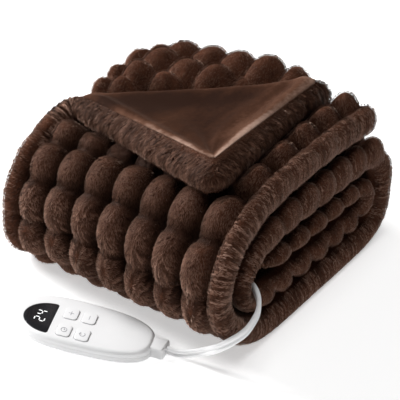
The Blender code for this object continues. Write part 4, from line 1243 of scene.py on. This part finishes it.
def display_outline():
    """Half-round window: straight on the side of the keys, round towards the housing's end."""
    length, width = DISPLAY_LENGTH - DISPLAY_CORNER, DISPLAY_WIDTH / 2
    turn = DISPLAY_EDGE_X - DISPLAY_CORNER
    points = []
    for sign in (-1, 1):
        corner = [math.pi / 2 * step / 6 for step in range(7)]
        arc = [(turn + DISPLAY_CORNER * math.sin(a), sign * (width - DISPLAY_CORNER * (1 - math.cos(a))))
               for a in corner]
        points += arc if sign < 0 else arc[::-1]
    for step in range(1, 36):
        angle = math.pi / 2 + math.pi * step / 36
        points.append((turn + length * math.cos(angle), width * math.sin(angle)))
    return [(x, y + FACE_SHIFT) for x, y in points]


def grown(outline, margin):
    """The outline moved outwards by a margin."""
    moved = []
    for i, (x, y) in enumerate(outline):
        before, after = Vector(outline[i - 1]), Vector(outline[(i + 1) % len(outline)])
        along = (after - before).normalized()
        moved.append((x + along.y * margin, y - along.x * margin))
    return moved


def prism(outline, low, high, top_round=0.0, foot_round=0.0, segments=3):
    """A block from a plan outline, its upper and lower rims rounded."""
    bm = bmesh.new()
    face = bm.faces.new([bm.verts.new((x, y, low)) for x, y in outline])
    raised = bmesh.ops.extrude_face_region(bm, geom=[face])
    for item in raised["geom"]:
        if isinstance(item, bmesh.types.BMVert):
            item.co.z = high
    for height, radius in ((high, top_round), (low, foot_round)):
        if radius:
            rim = [edge for edge in bm.edges if all(abs(v.co.z - height) < 1e-6 for v in edge.verts)]
            bmesh.ops.bevel(bm, geom=rim, offset=radius, offset_type="OFFSET", segments=segments,
                            profile=0.5, affect="EDGES", material=-1, clamp_overlap=True)
    return bm


def housing_part(outline, low, high, top_round, foot_round, segments=7):
    """Part of the housing: its plan outline carried up, and drawn in over the rounded rims."""
    turns = [math.pi / 2 * step / segments for step in range(segments + 1)]
    rings = [(low + foot_round * (1 - math.cos(a)), foot_round * (1 - math.sin(a))) for a in turns]
    rings += [(high - top_round * (1 - math.sin(a)), top_round * (1 - math.cos(a))) for a in turns]
    rings += [(high, BODY_WIDTH / 2 * share) for share in RING_SHARES]
    bm = bmesh.new()
    end = bm.faces.new([bm.verts.new((x, y, low)) for x, y in outline])
    for (_, before), (height, inset) in zip([(low, 0)] + rings, rings):
        end = carried_on(bm, end) if height > low else end
        for vertex in end.verts:
            vertex.co.x *= (BODY_LENGTH - 2 * inset) / (BODY_LENGTH - 2 * before)
            vertex.co.y *= (BODY_WIDTH - 2 * inset) / (BODY_WIDTH - 2 * before)
            vertex.co.z = height
    bmesh.ops.recalc_face_normals(bm, faces=bm.faces)
    return bm


def lined(bm, step, span_x, span_y):
    """Lines across the piece, so that its top can be drawn to a gentle curve."""
    for axis, (low, high) in enumerate((span_x, span_y)):
        count = max(1, round((high - low) / step))
        for i in range(1, count):
            point, across = Vector(), Vector()
            point[axis], across[axis] = low + (high - low) * i / count, 1
            mark_line(bm, point, across)


def pillow(x, y):
    """How far the housing's top falls from its middle towards its rim."""
    half = BODY_WIDTH / 2 * (1 - BODY_TAPER * (x / BODY_LENGTH + 0.5))
    reach = abs(2 * x / BODY_LENGTH) ** BODY_EXPONENT + abs(y / half) ** BODY_EXPONENT
    return PILLOW * min(reach ** (1 / BODY_EXPONENT), 1.0) ** PILLOW_POWER


def controller_piece(name, bm, look, smooth_angle=32, place=(0, 0, 0), body="throw", flat=False,
                     lean=CONTROLLER_LEAN, replaces=True):
    """A piece of the controller, its top drawn to the housing's curve and set in its place."""
    bmesh.ops.transform(bm, matrix=Matrix.Translation(place), verts=bm.verts)
    for vertex in bm.verts:
        share = min(max((vertex.co.z - PARTING_HEIGHT) / (BODY_HEIGHT - PARTING_HEIGHT), 0), 1)
        vertex.co.z -= 0 if flat else pillow(vertex.co.x, vertex.co.y) * share
    bmesh.ops.transform(bm, matrix=controller_frame() @ lean, verts=bm.verts)
    fitted(finished(name, bm, look, smooth_angle), body, name if replaces else None)


def cut_out(bm, cutters):
    """The block with wells cut into it."""
    number_by_place(bm)
    blank = placed("blank", mesh_from("blank", bm))
    made = [blank]
    for cutter in cutters:
        number_by_place(cutter)
        bmesh.ops.recalc_face_normals(cutter, faces=cutter.faces)
        made.append(placed("cutter", mesh_from("cutter", cutter)))
        cut = blank.modifiers.new("cut", "BOOLEAN")
        cut.operation, cut.solver, cut.object = "DIFFERENCE", "EXACT", made[-1]
    bpy.context.view_layer.update()
    result = bmesh.new()
    result.from_mesh(bpy.data.meshes.new_from_object(
        blank.evaluated_get(bpy.context.evaluated_depsgraph_get())))
    for item in made:
        bpy.data.objects.remove(item, do_unlink=True)
    return result


def key_place(column, row):
    """Middle of a key's foot on the housing's top, before the top is curved."""
    return (KEY_BLOCK_X + (column - 0.5) * KEY_PITCH_ALONG,
            FACE_SHIFT + (row - 0.5) * KEY_PITCH_ACROSS, BODY_HEIGHT)


def stroke(points, width, low, high):
    """A raised line on a flat face."""
    outline = ((-width / 2, low), (width / 2, low), (width / 2, high), (-width / 2, high))
    return swept(outline, [Vector((x, y, 0)) for x, y in points])


def ring_points(radius, start=0.0, turn=2 * math.pi, steps=28):
    """Points on an arc, both ends with it."""
    return [(radius * math.cos(start + turn * i / steps), radius * math.sin(start + turn * i / steps))
            for i in range(steps + 1)]


def merged(parts):
    """Several meshes as one."""
    whole = bmesh.new()
    for part in parts:
        bmesh.ops.recalc_face_normals(part, faces=part.faces)
        mesh = mesh_from("part", part)
        whole.from_mesh(mesh)
        bpy.data.meshes.remove(mesh)
    return whole


ICON_STROKES = {
    "warmer": [[(-3, 0), (3, 0)], [(0, -3), (0, 3)]],
    "cooler": [[(0, -3), (0, 3)]],
    "timer": [ring_points(3.1), [(0, 0), (0, 2.0)], [(0, 0), (1.5, 0)]],
    "power": [ring_points(2.9, math.radians(130), math.radians(280)), [(-3.6, 0), (-0.8, 0)]],
}

# Lit segments of each numeral: a top, b and c right, d bottom, e and f left, g middle.
SEGMENTS = {"2": "abged", "4": "fgbc"}
SEGMENT_ENDS = {"a": ((0, 2), (1, 2)), "b": ((1, 2), (1, 1)), "c": ((1, 1), (1, 0)), "d": ((0, 0), (1, 0)),
                "e": ((0, 1), (0, 0)), "f": ((0, 2), (0, 1)), "g": ((0, 1), (1, 1))}


def numeral(figure, origin):
    """Seven-segment numeral that reads from the controller's far end."""
    bars = []
    for segment in SEGMENTS[figure]:
        ends = []
        for across, up in SEGMENT_ENDS[segment]:
            ends.append(Vector((origin[0] - up * NUMERAL_STEP, origin[1] + across * NUMERAL_STEP)))
        along = (ends[1] - ends[0]).normalized() * NUMERAL_GAP
        bars.append(stroke([ends[0] + along, ends[1] - along], NUMERAL_WIDTH,
                           BODY_HEIGHT - 0.2 * MM, BODY_HEIGHT + 0.06 * MM))
    return bars


def make_housing(look):
    """Lower and upper half, with wells for the window and the keys."""
    outline = body_outline(240)
    base = housing_part(outline, 0, PARTING_HEIGHT + 0.1 * MM, PARTING_ROUND, FOOT_ROUND)
    controller_piece("controller_base", base, look, flat=True)
    cover = housing_part(outline, PARTING_HEIGHT + CLEARANCE, BODY_HEIGHT, TOP_ROUND, PARTING_ROUND)
    wells = [prism(grown(display_outline(), CLEARANCE), BODY_HEIGHT - DISPLAY_DEPTH - CLEARANCE, 20 * MM)]
    for _, column, row in KEY_NAMES:
        well = prism(rounded_rectangle(KEY_LENGTH + 3 * CLEARANCE, KEY_WIDTH + 3 * CLEARANCE,
                                       KEY_CORNER + CLEARANCE), -KEY_WELL_DEPTH, 6 * MM)
        bmesh.ops.transform(well, matrix=Matrix.Translation(key_place(column, row)), verts=well.verts)
        wells.append(well)
    controller_piece("controller_cover", cut_out(cover, wells), look, 50)


def make_display(window, lit):
    """Black window, and a generic number on it."""
    glass = prism(display_outline(), BODY_HEIGHT - DISPLAY_DEPTH, BODY_HEIGHT, top_round=GLASS_ROUND)
    lined(glass, 4 * MM, (DISPLAY_EDGE_X - DISPLAY_LENGTH, DISPLAY_EDGE_X),
          (FACE_SHIFT - DISPLAY_WIDTH / 2, FACE_SHIFT + DISPLAY_WIDTH / 2))
    controller_piece("display_window", glass, window)
    bars = []
    for i, figure in enumerate(READING):
        start = (NUMERAL_FOOT_X, FACE_SHIFT + (i - 0.5) * NUMERAL_PITCH - NUMERAL_STEP / 2)
        bars += numeral(figure, start)
    controller_piece("display_reading", merged(bars), lit, replaces=False)


def make_keys(look, print_look):
    """Four keys with their raised signs, each on its own body."""
    for name, column, row in KEY_NAMES:
        body = name.removeprefix("key_")
        cap = prism(rounded_rectangle(KEY_LENGTH, KEY_WIDTH, KEY_CORNER), -KEY_SUNK, KEY_PROUD,
                    top_round=KEY_ROUND, segments=5)
        place = key_place(column, row)
        controller_piece(name, cap, look, place=place, body=body)
        marks = [stroke([(x * MM, y * MM) for x, y in points], MARK_WIDTH, KEY_PROUD - 0.15 * MM,
                        KEY_PROUD + 0.12 * MM) for points in ICON_STROKES[body]]
        controller_piece("icon_" + body, merged(marks), print_look, place=place, body=body,
                         replaces=False)


def make_boot(look):
    """Moulded block at the lead's entry."""
    block = prism(rounded_rectangle(BOOT_LENGTH, BOOT_WIDTH, BOOT_CORNER), 0, BOOT_HEIGHT, BOOT_ROUND,
                  BOOT_FOOT_ROUND, segments=4)
    place = (BODY_LENGTH / 2 - BOOT_SUNK + BOOT_LENGTH / 2, 0, 0)
    controller_piece("lead_boot", block, look, place=place, flat=True, lean=Matrix.Identity(4))


# ---------------------------------------------------------------- lead
def lead_route():
    """The route's points with the run into the boot, in metres."""
    end = BODY_LENGTH / 2 - BOOT_SUNK + BOOT_LENGTH + CLEARANCE
    run_in = [controller_frame() @ Vector((end + reach, 0, BOOT_HEIGHT / 2)) for reach in (LEAD_RUN_IN, 0.0)]
    return [Vector(point) * MM for point in LEAD_ROUTE] + run_in


def smooth_route(points, step):
    """Evenly spaced points on a smooth curve through the route's points."""
    table = np.array(points, float)
    dense = FoldPath.spline(table)
    run = np.concatenate(([0.0], np.cumsum(np.linalg.norm(np.diff(dense, axis=0), axis=1))))
    count = max(2, round(run[-1] / step))
    wanted = np.linspace(0, run[-1], count + 1)
    return [tuple(float(np.interp(w, run, dense[:, i])) for i in range(3)) for w in wanted]


def make_socket(look):
    """Moulded block from which the lead comes out between the layers."""
    start = Vector(LEAD_ROUTE[0]) * MM
    way = (Vector(LEAD_ROUTE[1]) * MM - start).normalized()
    bm = bmesh.new()
    bmesh.ops.create_cube(bm, size=1)
    bmesh.ops.scale(bm, verts=bm.verts, vec=(SOCKET_LENGTH, SOCKET_WIDTH, SOCKET_HEIGHT))
    bmesh.ops.bevel(bm, geom=bm.edges[:], offset=SOCKET_ROUND, offset_type="OFFSET", segments=4, profile=0.5,
                    affect="EDGES", material=-1, clamp_overlap=True)
    turn = way.to_track_quat("X", "Z").to_matrix().to_4x4()
    middle = start - way * (SOCKET_LENGTH / 2 + CLEARANCE)
    bmesh.ops.transform(bm, matrix=Matrix.Translation(middle) @ turn, verts=bm.verts)
    return fitted(finished("lead_socket", bm, look, 40), "throw", "lead_socket")


def make_lead(look, socket):
    """Two strands joined side by side, standing one above the other."""
    points = smooth_route(lead_route(), LEAD_STEP)
    outline = []
    for side in (1, -1):
        for step in range(13):
            angle = math.pi * (step / 12 - 0.5) * STRAND_ARC + (0 if side > 0 else math.pi)
            outline.append((STRAND_RADIUS * math.sin(angle),
                            side * STRAND_OFFSET + STRAND_RADIUS * math.cos(angle)))
    item = fitted(finished("lead", swept(outline, points), look, 50), "throw", "lead")


# ---------------------------------------------------------------- the whole
def make_cloth():
    """Fur panel with its corner and its pile."""
    ground_look, pile_look = skin_material(), pile_material()
    grounds = [make(ground_look) for make in (make_fur_ground, make_corner_ground, make_hem_turn)]
    ground, corner, turn = grounds
    share = 1.0
    piles = [make_pile(name, [ground], int(blades * share), seed, pile_look, (low, high))
             for name, blades, seed, low, high in PILES]
    piles.append(make_pile("pile_corner", [corner, turn], int(CORNER_BLADES * share), CORNER_SEED, pile_look))
    for item in grounds:
        fitted(item, "throw", "fur_panel")


def place_camera():
    """The photograph's view, from the front right and above."""
    data = bpy.data.cameras.new("view")
    data.sensor_width, data.lens = SENSOR, LENS
    right = Vector((math.cos(VIEW_TURN), math.sin(VIEW_TURN), 0))
    ahead = Vector((-math.sin(VIEW_TURN) * math.cos(VIEW_RISE), math.cos(VIEW_TURN) * math.cos(VIEW_RISE),
                    -math.sin(VIEW_RISE)))
    place = Matrix((right, right.cross(ahead), -ahead)).transposed().to_4x4()
    place.translation = VIEW_PLACE
    camera = placed("view", data)
    camera.matrix_world = place
    bpy.context.scene.camera = camera


def area_light(name, place, size, power):
    """A round lamp that points at the throw."""
    data = bpy.data.lights.new(name, "AREA")
    data.shape, data.size, data.energy = "DISK", size, power
    item = placed(name, data)
    item.location = place
    item.rotation_euler = (Vector(LIT_POINT) - Vector(place)).to_track_quat("-Z", "Y").to_euler()


def make_studio():
    """White table and soft light from the left and from above."""
    world = bpy.data.worlds.new("studio")
    world.use_nodes = True
    sky = world.node_tree.nodes["Background"].inputs
    sky["Color"].default_value, sky["Strength"].default_value = (1, 1, 1, 1), 0.09
    bpy.context.scene.world = world
    bpy.context.scene.view_settings.view_transform = "Standard"
    area_light("key_light", (-3.0, -0.35, 1.8), 1.6, 190)
    area_light("top_light", (0.45, -0.2, 2.6), 1.6, 30)
    bm = bmesh.new()
    bmesh.ops.create_grid(bm, x_segments=1, y_segments=1, size=6)
    mesh = mesh_from("table_top", bm)
    mesh.materials.append(material("white_table", (0.95, 0.95, 0.95), 0.75, lit=0.5)[0])
    placed("table_top", mesh)


place_camera()
shell = shell_material("white_shell", (0.80, 0.80, 0.805), 0.34)
make_lead(shell_material("white_cable", (0.88, 0.88, 0.885), 0.42), make_socket(shell))
make_housing(shell)
make_display(window_material(), material("lit_segment", (0.9, 0.9, 0.9), 0.4, lit=0.7)[0])
make_keys(shell_material("white_key", (0.80, 0.80, 0.805), 0.36),
          material("grey_print", (0.33, 0.33, 0.35), 0.5)[0])
make_boot(shell)
make_cloth()
make_lining(lining_material())
make_studio()
